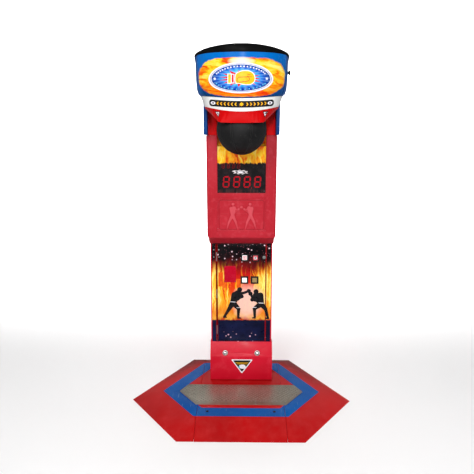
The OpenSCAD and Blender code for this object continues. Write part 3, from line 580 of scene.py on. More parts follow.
def on_marquee(x, z, d):
    """Point on the marquee's curved face at front-view position x, z (mm), d mm out from the shell."""
    lo = lv[0]
    for a, b in zip(lv, lv[1:]):
        za = a[2] + (a[3] - a[2]) * (x / a[0]) ** 2; zb = b[2] + (b[3] - b[2]) * (x / b[0]) ** 2
        if za <= z <= zb or b is lv[-1]:
            k = max(0.0, min(1.0, (z - za) / (zb - za))); m = lerp(a, b, k); break
        if z < za: m = a; break
    w, yf = m[0], m[1]; bb = -100 - yf; R = (w * w + bb * bb) / (2 * bb); yc = yf + R
    xx = min(abs(x), R + d - 1) 
    y = yc - math.sqrt(max(1, (R + d) ** 2 - xx * xx))
    return Vector((x, y, z)) * 0.001

def decal(name, loops, surf, th, mat, holes=(), sub=6.0):
    """Thin raised shape: 2-D outline (x, z mm) laid on a surface function surf(x, z, d), th mm thick."""
    cu = bpy.data.curves.new(name, "CURVE"); cu.dimensions = "2D"; cu.fill_mode = "BOTH"
    for L in list(loops) + list(holes):
        s = cu.splines.new("POLY"); s.points.add(len(L) - 1); s.use_cyclic_u = True
        for p, q in zip(s.points, L): p.co = (q[0] * 0.001, q[1] * 0.001, 0, 1)
    tmp = bpy.data.objects.new("t", cu); scene.collection.objects.link(tmp)
    bpy.context.view_layer.update()
    me = bpy.data.meshes.new_from_object(tmp.evaluated_get(bpy.context.evaluated_depsgraph_get()))
    bpy.data.objects.remove(tmp); bpy.data.curves.remove(cu)
    bm = bmesh.new(); bm.from_mesh(me); bpy.data.meshes.remove(me)
    bmesh.ops.remove_doubles(bm, verts=bm.verts[:], dist=1e-6)
    if sub:
        xs = [v.co.x for v in bm.verts]; ys = [v.co.y for v in bm.verts]
        for ax, lo, hi in ((0, min(xs), max(xs)), (1, min(ys), max(ys))):
            k = int((hi - lo) * 1000 / sub)
            for i in range(1, k):
                p = [0, 0, 0]; p[ax] = lo + (hi - lo) * i / k; nn = [0, 0, 0]; nn[ax] = 1
                bmesh.ops.bisect_plane(bm, geom=bm.verts[:] + bm.edges[:] + bm.faces[:], plane_co=p, plane_no=nn, dist=1e-7)
    flat = bm.faces[:]
    base = {v: v.co.copy() for v in bm.verts}
    ext = bmesh.ops.extrude_face_region(bm, geom=flat)
    top = [g for g in ext["geom"] if isinstance(g, bmesh.types.BMVert)]
    tops = set(top)
    for v in bm.verts:
        x, z = v.co.x * 1000, v.co.y * 1000
        v.co = surf(x, z, th if v in tops else 0.0)
    return sharp(from_bm(name, bm, mat, True), 30)

def ell(cx, cz, a, b, n=96, a0=0.0): return [(cx + a * math.cos(2 * math.pi * i / n + a0), cz + b * math.sin(2 * math.pi * i / n + a0)) for i in range(n)]

# closing plates behind the marquee's sides and black skirts under the roof
def plate_xz(name, P, y0, y1, mat, bev=0.0008):
    bm = bmesh.new()
    a = [bm.verts.new((x / 1000, y0 / 1000, z / 1000)) for x, z in P]; b = [bm.verts.new((x / 1000, y1 / 1000, z / 1000)) for x, z in P]
    n = len(P); bm.faces.new(a); bm.faces.new(b[::-1])
    for i in range(n): bm.faces.new((a[i], b[i], b[(i + 1) % n], a[(i + 1) % n]))
    bmesh.ops.bevel(bm, geom=bm.edges[:], offset=bev, segments=2, profile=0.5, affect="EDGES", clamp_overlap=True)
    return sharp(from_bm(name, bm, mat, True), 40)
CP = []
for s in (-1, 1):
    CP.append(plate_xz("cl", [(s * x, z) for x, z in ((199.5, 1822), (203, 1822), (224.3, 1876), (237.3, 1889), (245.3, 1915), (249.3, 1963), (251.2, 2081), (199.5, 2081))], -44.6, -42.2, BLUED))
put(join("marquee_side_closers", CP), "cabinet", SLOT["marquee_shell"])
CP = []
for s in (-1, 1):
    lo, hi = (s * 0.2203, -0.0405, 2.034), (s * 0.2238, 0.3305, 2.0855)
    CP.append(rbox("sk", (min(lo[0], hi[0]), lo[1], lo[2]), (max(lo[0], hi[0]), hi[1], hi[2]), 0.0012, 2, BLACKG))
    CP.append(plate_xz("sk", [(s * x, z) for x, z in ((223.8, 2046), (255.8, 2046), (256.2, 2082), (223.8, 2086))], -11.5, -9.0, BLACKG))
put(join("crown_skirts", CP), "cabinet", SLOT["crown"])

# marquee emblem: layered ovals, starburst, generic glove, triangles and dots
def gm(name, c1, c2, rough=0.35, coat=0.3, emit=0.0, scale=60, bump=0.05):
    """Printed or moulded detail colour with light wear; emit gives the colour a faint glow of its own, which is painted
    light wherever no lamp stands behind the print.
    """
    t = NT(name); c = t.coord()
    n = t.noise(c, scale, 4, 0.6)
    cc = t.mix(t.rng(n, 0.35, 0.72), c1, c2)
    t.set(color=cc, rough=t.rng(n, 0.3, 0.7, rough - 0.05, rough + 0.08), normal=t.bump(t.noise(c, 500, 2), bump, 0.0005), emit=cc)
    t.b.inputs["Emission Strength"].default_value = emit
    t.b.inputs["Coat Weight"].default_value = coat
    return t.m
INK_W = gm("ink_white", (0.86, 0.84, 0.88), (0.72, 0.70, 0.78), emit=0.1)
INK_B = gm("ink_blue", (6, 78, 178), (2, 58, 150))
INK_K = gm("ink_black", (0.006, 0.006, 0.008), (0.016, 0.016, 0.018), rough=0.3)
INK_R = gm("ink_red", (212, 12, 26), (186, 4, 18), emit=0.05)
INK_Y = gm("ink_yellow", (250, 190, 20), (240, 160, 12), emit=0.05)
INK_C = gm("ink_cyan", (90, 220, 240), (60, 190, 225), emit=0.08)
INK_G = gm("ink_graphite", (0.028, 0.024, 0.03), (0.05, 0.045, 0.055), rough=0.4)
EX, EZ, EA, EB = -4.0, 1949.0, 168.0, 75.0
def oval_mat():
    t = NT("emblem_centre"); c = t.coord(); x, y, z = t.sep(c)
    dx = t.math("DIVIDE", t.math("SUBTRACT", x, EX / 1000), 0.15); dz = t.math("DIVIDE", t.math("SUBTRACT", z, EZ / 1000), 0.062)
    r = t.math("SQRT", t.math("ADD", t.math("MULTIPLY", dx, dx), t.math("MULTIPLY", dz, dz)))
    n = t.noise(c, 60, 4, 0.6)
    r = t.math("ADD", r, t.math("MULTIPLY", t.math("SUBTRACT", n, 0.5), 0.16))
    cc = t.ramp(r, [(0.0, (236, 250, 255)), (0.34, (150, 224, 246)), (0.58, (40, 154, 226)), (0.8, (6, 66, 178)), (1.0, (2, 36, 128))])
    ang = t.math("ARCTAN2", dz, dx)
    ray = t.math("ADD", t.math("MULTIPLY", t.math("SINE", t.math("MULTIPLY", ang, 22)), 0.5), 0.5)
    cc = t.mix(t.math("MULTIPLY", ray, t.rng(r, 0.25, 0.6, 0, 0.22)), cc, (150, 210, 240))
    t.set(color=cc, rough=t.rng(n, 0.3, 0.7, 0.22, 0.32), normal=t.bump(n, 0.03, 0.0005), emit=cc)
    t.b.inputs["Emission Strength"].default_value = 0.05
    t.b.inputs["Coat Weight"].default_value = 0.4
    return t.m
S3 = lambda base: (lambda x, z, d: on_marquee(x, z, base + d))
parts = [decal("em_a", [ell(EX, EZ, EA, EB)], S3(2.9), 1.4, INK_W, sub=9),
         decal("em_b", [ell(EX, EZ, EA - 9, EB - 6)], S3(4.3), 0.5, INK_B, holes=[ell(EX, EZ, EA - 11.5, EB - 8)], sub=9),
         decal("em_c", [ell(EX, EZ, EA - 16, EB - 11)], S3(4.3), 0.8, oval_mat(), sub=9)]
# starburst
def burst(cx, cz, a, b, n, inner, seed, rot=0.0):
    rnd = random.Random(seed); L = []
    for i in range(2 * n):
        k = (1 + 0.18 * (rnd.random() - 0.5)) if i % 2 == 0 else inner * (1 + 0.12 * (rnd.random() - 0.5))
        th = rot + math.pi * i / n
        L.append((cx + a * k * math.cos(th), cz + b * k * math.sin(th)))
    return L
parts.append(decal("em_d", [burst(EX, EZ - 2, 108, 40, 15, 0.62, 3)], S3(5.1), 0.7, INK_R, sub=9))
# generic glove seen from the side, with a cuff
def glove(cx, cz, s):
    body = [(-40, -6), (-38, 10), (-28, 22), (-8, 28), (16, 27), (34, 18), (42, 3), (40, -12), (30, -22), (12, -25), (-6, -24), (-18, -20), (-30, -18)]
    out = []
    n = len(body)
    for i in range(n):
        p0, p1, p2, p3 = body[i - 1], body[i], body[(i + 1) % n], body[(i + 2) % n]
        for j in range(6):
            t = j / 6
            out.append(tuple(cc * s + o for cc, o in zip((0.5 * (2 * b + (c - a) * t + (2 * a - 5 * b + 4 * c - d) * t * t + (3 * b - a - 3 * c + d) * t ** 3) for a, b, c, d in zip(p0, p1, p2, p3)), (cx, cz))))
    return out
def grow(L, cx, cz, k): return [(cx + (x - cx) * k, cz + (z - cz) * k) for x, z in L]
GX, GZ = EX + 14, EZ - 2
def cap2(a, b, ra, rb, n=14):
    th = math.atan2(b[1] - a[1], b[0] - a[0])
    L = [(a[0] + ra * math.cos(th + math.pi / 2 + math.pi * i / n), a[1] + ra * math.sin(th + math.pi / 2 + math.pi * i / n)) for i in range(n + 1)]
    return L + [(b[0] + rb * math.cos(th - math.pi / 2 + math.pi * i / n), b[1] + rb * math.sin(th - math.pi / 2 + math.pi * i / n)) for i in range(n + 1)]
def fist(cx, cz, s, g):
    """Body of a generic glove: a fat rounded fist, grown by g."""
    body = [(-34, -17), (-34, 13), (-22, 24), (0, 30), (24, 29), (42, 19), (49, 2), (46, -13), (32, -24), (10, -26), (-14, -22)]
    n = len(body); out = []
    for i in range(n):
        p0, p1, p2, p3 = body[i - 1], body[i], body[(i + 1) % n], body[(i + 2) % n]
        for j in range(6):
            t = j / 6
            out.append(tuple(0.5 * (2 * b + (c - a) * t + (2 * a - 5 * b + 4 * c - d) * t * t + (3 * b - a - 3 * c + d) * t ** 3) for a, b, c, d in zip(p0, p1, p2, p3)))
    return [(cx + x * s * (1 + g / 40), cz + z * s * (1 + g / 28)) for x, z in out]
parts.append(decal("em_e", [fist(GX, GZ, 1.15, 3)], S3(5.8), 0.7, INK_W, sub=9))
parts.append(decal("em_f", [fist(GX, GZ, 1.15, 0)], S3(6.5), 0.7, INK_Y, sub=9))
parts.append(decal("em_g", [[(GX - 82, GZ - 27), (GX - 46, GZ - 24), (GX - 46, GZ + 20), (GX - 82, GZ + 24)]], S3(5.8), 1.0, INK_W, sub=9))
parts.append(decal("em_g2", [[(GX - 78, GZ - 23), (GX - 64, GZ - 22), (GX - 64, GZ + 19), (GX - 78, GZ + 20)]], S3(6.8), 0.6, INK_Y, sub=9))
parts.append(decal("em_g3", [[(GX - 60, GZ - 21.5), (GX - 50, GZ - 20), (GX - 50, GZ + 17), (GX - 60, GZ + 18.5)]], S3(6.8), 0.6, INK_R, sub=9))
parts.append(decal("em_h", [cap2((GX - 20, GZ - 8), (GX + 20, GZ - 4), 13.5, 11.5)], S3(7.2), 0.5, INK_R, sub=9))
parts.append(decal("em_i", [cap2((GX - 20, GZ - 8), (GX + 20, GZ - 4), 11, 9)], S3(7.7), 0.5, INK_Y, sub=9))
for zz_ in (9, 19):
    parts.append(decal("em_k", [cap2((GX + 20, GZ + zz_), (GX + 47 - zz_ * 0.5, GZ + zz_ - 2), 1.3, 1.0)], S3(7.2), 0.4, INK_R, sub=9))
tri = []
for i in range(19):
    th = math.radians(26 + 128 * i / 18)
    cx, cz = EX + (EA - 31) * math.cos(th), EZ + (EB - 20) * math.sin(th)
    s = 5.2
    tri.append([(cx + s * math.cos(th + k), cz + s * math.sin(th + k)) for k in (0, 2.0944, 4.18879)])
parts.append(decal("em_t", tri, S3(5.1), 0.7, INK_W, sub=0))
dots = []
for i in range(15):
    th = math.radians(206 + 128 * i / 14)
    dots.append(ell(EX + (EA - 29) * math.cos(th), EZ + (EB - 19) * math.sin(th), 2.6, 2.6, 12))
parts.append(decal("em_p", dots, S3(5.1), 0.7, INK_C, sub=0))
for th in (0, math.pi):
    parts.append(decal("em_s", [burst(EX + (EA - 34) * math.cos(th), EZ, 9, 9, 5, 0.42, 1, math.pi / 2)], S3(5.1), 0.7, INK_W, sub=0))
emb = join("marquee_emblem", parts)
put(emb, "cabinet", SLOT["marquee_panel"])

# white band with its black pill
def band2_mat():
    t = NT("white_band_plastic"); c = t.coord(); x, y, z = t.sep(c)
    n = t.noise(c, 30, 5, 0.6); ax = t.math("ABSOLUTE", x)
    cc = t.mix(t.rng(n, 0.4, 0.75), (0.84, 0.84, 0.83), (0.68, 0.68, 0.67))
    # painted shade: darker grey towards both ends, where the band turns away from the front
    cc = t.mix(t.rng(ax, 0.17, 0.225, 0, 0.6), cc, (0.4, 0.4, 0.41))
    sc = t.rng(t.noise(t.mapping(c, (0.1, 1, 1)), 300, 3), 0.66, 0.72, 0, 0.3)
    cc = t.mix(sc, cc, (0.3, 0.28, 0.26))
    t.set(color=cc, rough=t.rng(n, 0.3, 0.7, 0.3, 0.42), normal=t.bump(t.noise(c, 420, 2), 0.06, 0.0005))
    t.b.inputs["Coat Weight"].default_value = 0.25
    return t.m
rounded("white_band", 0.0008, 2, angle=30, mat=band2_mat())
WB = [(206, -304, -96, 1785, 1820), (228, -310.5, -100, 1850.6, 1875.6)]
def on_band(x, z, d):
    lo, hi = WB
    za = lo[3] + (lo[4] - lo[3]) * (x / lo[0]) ** 2; zb = hi[3] + (hi[4] - hi[3]) * (x / hi[0]) ** 2
    m = lerp(lo, hi, max(0, min(1, (z - za) / (zb - za))))
    w, yf, ys = m[0], m[1], m[2]; b = ys - yf; R = (w * w + b * b) / (2 * b)
    return Vector((x, yf + R - math.sqrt(max(1, (R + d) ** 2 - x * x)), z)) * 0.001
SB = lambda base: (lambda x, z, d: on_band(x, z, base + d))
def arch(x): return 20.5 * (x / 206) ** 2 
def pill(x0, x1, z0, z1, r, n=40):
    """Rounded strip that follows the arch of the band."""
    L = []
    def pt(x, z): L.append((x, z + arch(x)))
    for i in range(9):
        a = math.pi + math.pi / 2 * i / 8; pt(x0 + r + r * math.cos(a), z0 + r + r * math.sin(a))
    for i in range(1, n): pt(x0 + r + (x1 - x0 - 2 * r) * i / n, z0)
    for i in range(9):
        a = 1.5 * math.pi + math.pi / 2 * i / 8; pt(x1 - r + r * math.cos(a), z0 + r + r * math.sin(a))
    for i in range(9):
        a = math.pi / 2 * i / 8; pt(x1 - r + r * math.cos(a), z1 - r + r * math.sin(a))
    for i in range(1, n): pt(x1 - r - (x1 - x0 - 2 * r) * i / n, z1)
    for i in range(9):
        a = math.pi / 2 + math.pi / 2 * i / 8; pt(x0 + r + r * math.cos(a), z1 - r + r * math.sin(a))
    return L
pp = [decal("wb_a", [pill(-172, 172, 1804, 1837, 14)], SB(0.0), 1.6, INK_K, sub=7)]
for s in (-1, 1):
    pp.append(decal("wb_o", [[(x, z + arch(x)) for x, z in ell(s * 150, 1820.5, 13, 8, 32)]], SB(1.6), 0.7, INK_W, sub=7))
    pp.append(decal("wb_c", [[(x, z + arch(x)) for x, z in ell(s * 150, 1820.5, 5, 4, 20)]], SB(2.3), 0.5, INK_K, sub=0))
    for k in range(6):
        cx = s * (124 - 19 * k)
        pp.append(decal("wb_v", [[(x, z + arch(x)) for x, z in ((cx - s * 5, 1813), (cx + s * 1, 1813), (cx + s * 7, 1820.5), (cx + s * 1, 1828), (cx - s * 5, 1828), (cx + s * 1, 1820.5))]], SB(1.6), 0.7, INK_Y, sub=0))
pp.append(decal("wb_m", [[(x, z + arch(x)) for x, z in burst(0, 1820.5, 13, 11, 8, 0.5, 5)]], SB(1.6), 0.7, INK_Y, sub=0))
put(join("band_marks", pp), "cabinet", SLOT["white_band"])

from mathutils.bvhtree import BVHTree
def surf_ray(ob):
    """Surface function for decals on any piece: the first face met along +Y, moved out along the face's normal."""
    me = ob.data
    tree = BVHTree.FromPolygons([v.co.copy() for v in me.vertices], [tuple(p.vertices) for p in me.polygons])
    def f(x, z, d, base=0.0):
        h = tree.ray_cast(Vector((x * 0.001, -1.5, z * 0.001)), Vector((0, 1, 0)))
        if h[0] is None: return Vector((x, -100 - d, z)) * 0.001
        n = h[1] if h[1].y < 0 else -h[1]
        return h[0] + n * (d * 0.001)
    return f
LR = surf_ray(bpy.data.objects["lip_fine"])
Sk = []
for s in (-1, 1):
    P3 = [(s * 112, 1786), (s * 142, 1789), (s * 120, 1755)]
    if s < 0: P3 = P3[::-1]
    Sk.append(decal("lp", [P3], (lambda x, z, d: LR(x, z, d + 0.02)), 0.35, INK_K, sub=4))
    c_ = (sum(p[0] for p in P3) / 3, sum(p[1] for p in P3) / 3)
    Sk.append(decal("lp", [grow(P3, c_[0], c_[1], 0.62)], (lambda x, z, d: LR(x, z, d + 0.4)), 0.25, INK_W, sub=4))
    Sk.append(decal("lp", [grow(P3, c_[0], c_[1], 0.3)], (lambda x, z, d: LR(x, z, d + 0.68)), 0.2, INK_K, sub=4))
put(join("lip_triangles", Sk), "cabinet", SLOT["lip"])

# ---------------------------------------------------------------- platform top
rounded("floor_band", 0.0004, 1, mat=BAND)

TREADP = [(-275, -215), (275, -215), (393, -60), (348, 25), (-348, 25), (-393, -60)]
SCR = [(-262, -200), (262, -200), (-378, -60), (378, -60), (-338, 12), (338, 12), (-90, -203), (90, -203), (-120, 13), (120, 13)]
def inside(p, P, d):
    for a, b in zip(P, P[1:] + P[:1]):
        ux, uy = b[0] - a[0], b[1] - a[1]; L = math.hypot(ux, uy)
        if (ux * (p[1] - a[1]) - uy * (p[0] - a[0])) / L < d: return False
    return True
def tread_bars():
    """Lozenge bars of the checker plate, five-a-side pattern turned about."""
    bm = bmesh.new()
    px, py = 26.0, 26.0
    k = 0
    for iy in range(-11, 4):
        for ix in range(-17, 18):
            cx, cy = ix * px + (0 if iy % 2 == 0 else px / 2), -70 + (iy + 3) * py / 2 * 1.0
            ang = math.radians(38 if (ix + (iy // 1)) % 2 == 0 else -38)
            if not inside((cx, cy), TREADP, 11): continue
            if any(math.hypot(cx - s[0], cy - s[1]) < 16 for s in SCR): continue
            ca, sa = math.cos(ang), math.sin(ang)
            base, top = [], []
            for j in range(12):
                th = 2 * math.pi * j / 12
                u, v = 8.2 * math.cos(th), 2.5 * math.sin(th)
                base.append(bm.verts.new(((cx + u * ca - v * sa) / 1000, (cy + u * sa + v * ca) / 1000, 0.0579)))
                u, v = 6.2 * math.cos(th), 1.5 * math.sin(th)
                top.append(bm.verts.new(((cx + u * ca - v * sa) / 1000, (cy + u * sa + v * ca) / 1000, 0.0594)))
            for j in range(12):
                bm.faces.new((base[j], base[(j + 1) % 12], top[(j + 1) % 12], top[j]))
            bm.faces.new(top); bm.faces.new(base[::-1])
    return from_bm("tread_bars", bm, TREAD, True)
tp = rounded("tread_plate", 0.0008, 2, mat=TREAD)
tb = tread_bars(); sharp(tb, 50); put(tb, "cabinet", SLOT["tread_plate"])

def screw(name, at, r, h, mat, drive="cross", axis="z", rot=0.0):
    """Domed screw head with its recess cut as geometry."""
    n = 32
    prof = [(r, 0), (r, h * 0.25), (r * 0.92, h * 0.62), (r * 0.7, h * 0.9), (r * 0.45, h), (0.0, h)]
    bm = bmesh.new(); o = lathe(name, prof, n, mat, "z")
    bm.from_mesh(o.data); 
    w, l = r * 0.16, r * 0.6
    cut = bmesh.new()
    shapes = [((-l, -w), (l, w)), ((-w, -l), (w, l))] if drive == "cross" else [((-r * 0.85, -w), (r * 0.85, w))]
    for lo, hi in shapes:
        g = bmesh.ops.create_cube(cut, size=1)
        vs = g["verts"]
        for v in vs: v.co = Vector(((lo[0] + hi[0]) / 2 + v.co.x * (hi[0] - lo[0]), (lo[1] + hi[1]) / 2 + v.co.y * (hi[1] - lo[1]), h * 1.0 + v.co.z * h * 1.1))
    bm.free()
    c = from_bm("cut", cut)
    m = o.modifiers.new("x", "BOOLEAN"); m.object = c; m.operation = "DIFFERENCE"; m.solver = "EXACT"; m.use_self = True
    apply_mods(o); bpy.data.objects.remove(c)
    R = {"z": Matrix.Identity(4), "-y": Matrix.Rotation(math.radians(90), 4, "X"), "y": Matrix.Rotation(math.radians(-90), 4, "X"), "x": Matrix.Rotation(math.radians(90), 4, "Y"), "-x": Matrix.Rotation(math.radians(-90), 4, "Y")}
    M = R[axis] if isinstance(axis, str) else axis
    o.data.transform(Matrix.Translation(at) @ M @ Matrix.Rotation(rot, 4, "Z"))
    if o.data.materials: o.data.materials[0] = mat
    else: o.data.materials.append(mat)
    return sharp(o, 35)
rnd = random.Random(4)
S = [screw("s", (x / 1000, y / 1000, 0.058), 0.005, 0.0019, STEEL, "cross", "z", rnd.random() * 3) for x, y in SCR]
put(join("tread_screw_heads", S), "cabinet", SLOT["tread_screws"], "tread_screws")
# socket heads of the wing bolts seen through the seams stay as plain hexes
rounded("wing_bolts", 0.0006, 2, mat=DARKSTEEL)
# dark plugs in the two floor fixing holes
P = []
for s in (-1, 1):
    P.append(lathe("plug", [(0.0, -0.004), (0.0058, -0.004), (0.0058, 0.0006), (0.0082, 0.0006), (0.0082, 0.0018), (0.007, 0.0026), (0.0036, 0.003), (0.003, 0.0018), (0.0, 0.0018)], 32, BLACKP, at=(s * 0.2, -0.286, 0.055)))
put(join("fixing_plugs", P), "cabinet", SLOT["base_centre"])

# ---------------------------------------------------------------- punch ball
def ball():
    """Leather ball: eight gores with sunken seams, a top ring and a soft sag below the flange."""
    c = Vector((0, -0.160, 1.696)); R = 0.1375
    NU, NV = 192, 96
    bm = bmesh.new(); rows = []
    seams = [math.radians(22.5 + 45 * k) for k in range(8)]
    top = math.acos(0.129 / 0.138)
    for j in range(NV + 1):
        th = top + (math.pi - top) * j / NV
        row = []
        for i in range(NU):
            ph = 2 * math.pi * i / NU
            r = R
            d = min(abs((ph - s + math.pi) % (2 * math.pi) - math.pi) for s in seams) * math.sin(th) * R
            r -= 0.0022 * math.exp(-(d / 0.0024) ** 2)
            r += 0.0006 * math.exp(-((d - 0.007) / 0.004) ** 2)
            e = abs(th - math.radians(38)) * R
            r -= 0.0018 * math.exp(-(e / 0.0022) ** 2)
            e2 = abs(th - math.radians(152)) * R
            r -= 0.0018 * math.exp(-(e2 / 0.0022) ** 2)
            p = Vector((math.sin(th) * math.cos(ph), math.sin(th) * math.sin(ph), math.cos(th)))
            r += 0.0012 * (mnoise.noise(p * 2.3 + Vector((3, 1, 7)))) - 0.0004
            row.append(bm.verts.new(c + p * r))
            if j == NV: break
        rows.append(row)
    for j in range(NV - 1):
        for i in range(NU):
            bm.faces.new((rows[j][i], rows[j + 1][i], rows[j + 1][(i + 1) % NU], rows[j][(i + 1) % NU]))
    for i in range(NU): bm.faces.new((rows[NV - 1][i], rows[NV][0], rows[NV - 1][(i + 1) % NU]))
    # closed over the top at the flange
    bm.faces.new([rows[0][i] for i in range(NU)])
    return from_bm("leather_ball", bm, LEATHER, True)
B = ball(); sharp(B, 60)
st = []
def stitch_ring(name, pts, r=0.0006):
    """Short threads along a path on the ball."""
    bm = bmesh.new(); c = Vector((0, -0.160, 1.696))
    for a, b in pts:
        d = (b - a); L = d.length; d.normalize(); nrm = ((a + b) / 2 - c).normalized(); s = d.cross(nrm)
        ring_ = []
        for k, t in enumerate((0, 0.25, 0.75, 1)):
            h = (0.0, 0.0009, 0.0009, 0.0)[k]
            p = a + d * L * t + nrm * (h - 0.0002)
            ring_.append([bm.verts.new(p + (s * math.cos(q) + nrm * math.sin(q)) * r) for q in (0, math.pi / 2, math.pi, 1.5 * math.pi)])
        for u, v in zip(ring_, ring_[1:]):
            for q in range(4): bm.faces.new((u[q], u[(q + 1) % 4], v[(q + 1) % 4], v[q]))
        bm.faces.new(ring_[0][::-1]); bm.faces.new(ring_[-1])
    return from_bm(name, bm, THREAD, True)
c0 = Vector((0, -0.160, 1.696)); pts = []
for k in range(8):
    ph0 = math.radians(22.5 + 45 * k)
    for side in (-1, 1):
        for j in range(44):
            th = math.radians(42 + 2.45 * j); r = 0.1372
            ph = ph0 + side * 0.0042 / (r * math.sin(th))
            f = lambda th_: c0 + Vector((math.sin(th_) * math.cos(ph), math.sin(th_) * math.sin(ph), math.cos(th_))) * r
            pts.append((f(th), f(th + math.radians(1.5))))
T = stitch_ring("ball_stitches", pts)
bj = join("punch_ball_leather", [B, T])
put(bj, "ball", SLOT["punch_ball"], "punch_ball")
# arm flange: rolled collar with bolts over the CAD arm
col_ = [lathe("fl", [(0.0, 0.0), (0.041, 0.0), (0.0425, 0.0015), (0.0425, 0.0075), (0.041, 0.009), (0.024, 0.0095), (0.021, 0.014), (0.0, 0.014)], 64, DARKSTEEL, at=(0, -0.160, 1.8252))]
for k in range(6):
    a = 2 * math.pi * k / 6
    col_.append(lathe("b", [(0.0, 0.0), (0.0045, 0.0), (0.0045, 0.003), (0.0038, 0.0038), (0.0, 0.0038)], 6, STEEL, at=(0.032 * math.cos(a), -0.160 + 0.032 * math.sin(a), 1.8342)))
put(join("ball_flange", col_), "ball", SLOT["swing_arm"])

# ceiling pad: soft block with rolled edges and shallow buttons
def pad():
    bm = bmesh.new(); nx, ny = 40, 40
    X0, X1, Y0, Y1, Z0, Z1 = -0.1195, 0.1195, -0.0595, 0.1895, 2.0165, 2.0495
    grid = []
    for j in range(ny + 1):
        row = []
        for i in range(nx + 1):
            u, v = i / nx * 2 - 1, j / ny * 2 - 1
            x = X0 + (X1 - X0) * i / nx; y = Y0 + (Y1 - Y0) * j / ny
            e = max(abs(u), abs(v)); dz = 0.006 * max(0, (e - 0.9) / 0.1) ** 2
            for bx in (-0.06, 0.0, 0.06):
                for by in (0.0, 0.065, 0.13):
                    dz += 0.004 * math.exp(-(((x - bx) / 0.012) ** 2 + ((y - by) / 0.012) ** 2))
            row.append(bm.verts.new((x, y, Z0 + dz)))
        grid.append(row)
    for j in range(ny):
        for i in range(nx): bm.faces.new((grid[j][i], grid[j + 1][i], grid[j + 1][i + 1], grid[j][i + 1]))
    edge = [e for e in bm.edges if e.is_boundary]
    ex = bmesh.ops.extrude_edge_only(bm, edges=edge)
    vs = [g for g in ex["geom"] if isinstance(g, bmesh.types.BMVert)]
    for v in vs: v.co.z = Z1
    bmesh.ops.contextual_create(bm, geom=[e for e in bm.edges if e.is_boundary])
    return sharp(from_bm("ceiling_cushion", bm, FOAM, True), 50)
cp = pad(); put(cp, "cabinet", SLOT["ceiling_pad"], "ceiling_pad")

# kick cover studs
KM = Matrix.Rotation(math.radians(64.6), 4, "X")
S = []
for s in (-1, 1):
    o = lathe("st", [(0.0, -0.006), (0.003, -0.006), (0.003, 0.003), (0.0124, 0.003), (0.0132, 0.0036), (0.0132, 0.0042), (0.0122, 0.0062), (0.0094, 0.0088), (0.0056, 0.0104), (0.0, 0.011)], 56, CHROME)
    o.data.transform(Matrix.Translation((s * 0.106, 0.0975, 0.248)) @ KM)
    S.append(o)
    o = lathe("ws", [(0.0, 0.0), (0.0172, 0.0), (0.0172, 0.0012), (0.0164, 0.0018), (0.0128, 0.0018), (0.0, 0.0018)], 56, STEEL)
    o.data.transform(Matrix.Translation((s * 0.106, 0.0975, 0.248)) @ KM @ Matrix.Translation((0, 0, 0.0024)))
    S.append(o)
put(join("kick_stud_domes", S), "cabinet", SLOT["kick_studs"], "kick_studs")

# ---------------------------------------------------------------- display, relief and bay
rounded("display_window", 0.0004, 1, mat=BLACKG)
def glass_mat():
    """Smoked window artwork: flames above, glossy black below, with soft streaks."""
    t = NT("display_face"); c = t.coord(); x, y, z = t.sep(c)
    fl, f = flame_field(t, c, (190, 24, 8), (240, 110, 10), (253, 200, 40), (255, 240, 160), 0.8)
    n = t.noise(c, 18, 4, 0.6)
    edge = t.math("ADD", z, t.math("MULTIPLY", t.math("SUBTRACT", t.noise(t.mapping(c, (1, 1, 0.25)), 40, 3, 0.6), 0.5), 0.05))
    up = t.rng(edge, 1.497, 1.507, smooth=True)
    blk = t.mix(t.rng(n, 0.4, 0.75), (0.006, 0.005, 0.006), (0.02, 0.014, 0.016))
    # faint warm reflections along the lower edge
    st = t.noise(t.mapping(c, (1, 1, 0.1)), 60, 3, 0.6)
    low = t.math("MULTIPLY", t.rng(z, 1.322, 1.352, 1, 0), t.rng(st, 0.45, 0.7))
    blk = t.mix(t.math("MULTIPLY", low, 0.55), blk, (120, 60, 60))
    cc = t.mix(up, blk, fl)
    t.set(color=cc, rough=t.rng(n, 0.3, 0.7, 0.07, 0.16), normal=t.bump(n, 0.02, 0.002), emit=cc)
    t.b.inputs["Emission Strength"].default_value = 0.1
    t.b.inputs["Coat Weight"].default_value = 0.8
    t.b.inputs["Coat Roughness"].default_value = 0.04
    return t.m
GL = glass_mat()
wfc = rbox("w", (-0.1466, 0.0526, 1.3224), (0.1466, 0.0534, 1.6026), 0.0003, 1, GL)
FLAT = lambda Y: (lambda x, z, d: Vector((x, Y - d, z)) * 0.001)
D = [wfc]
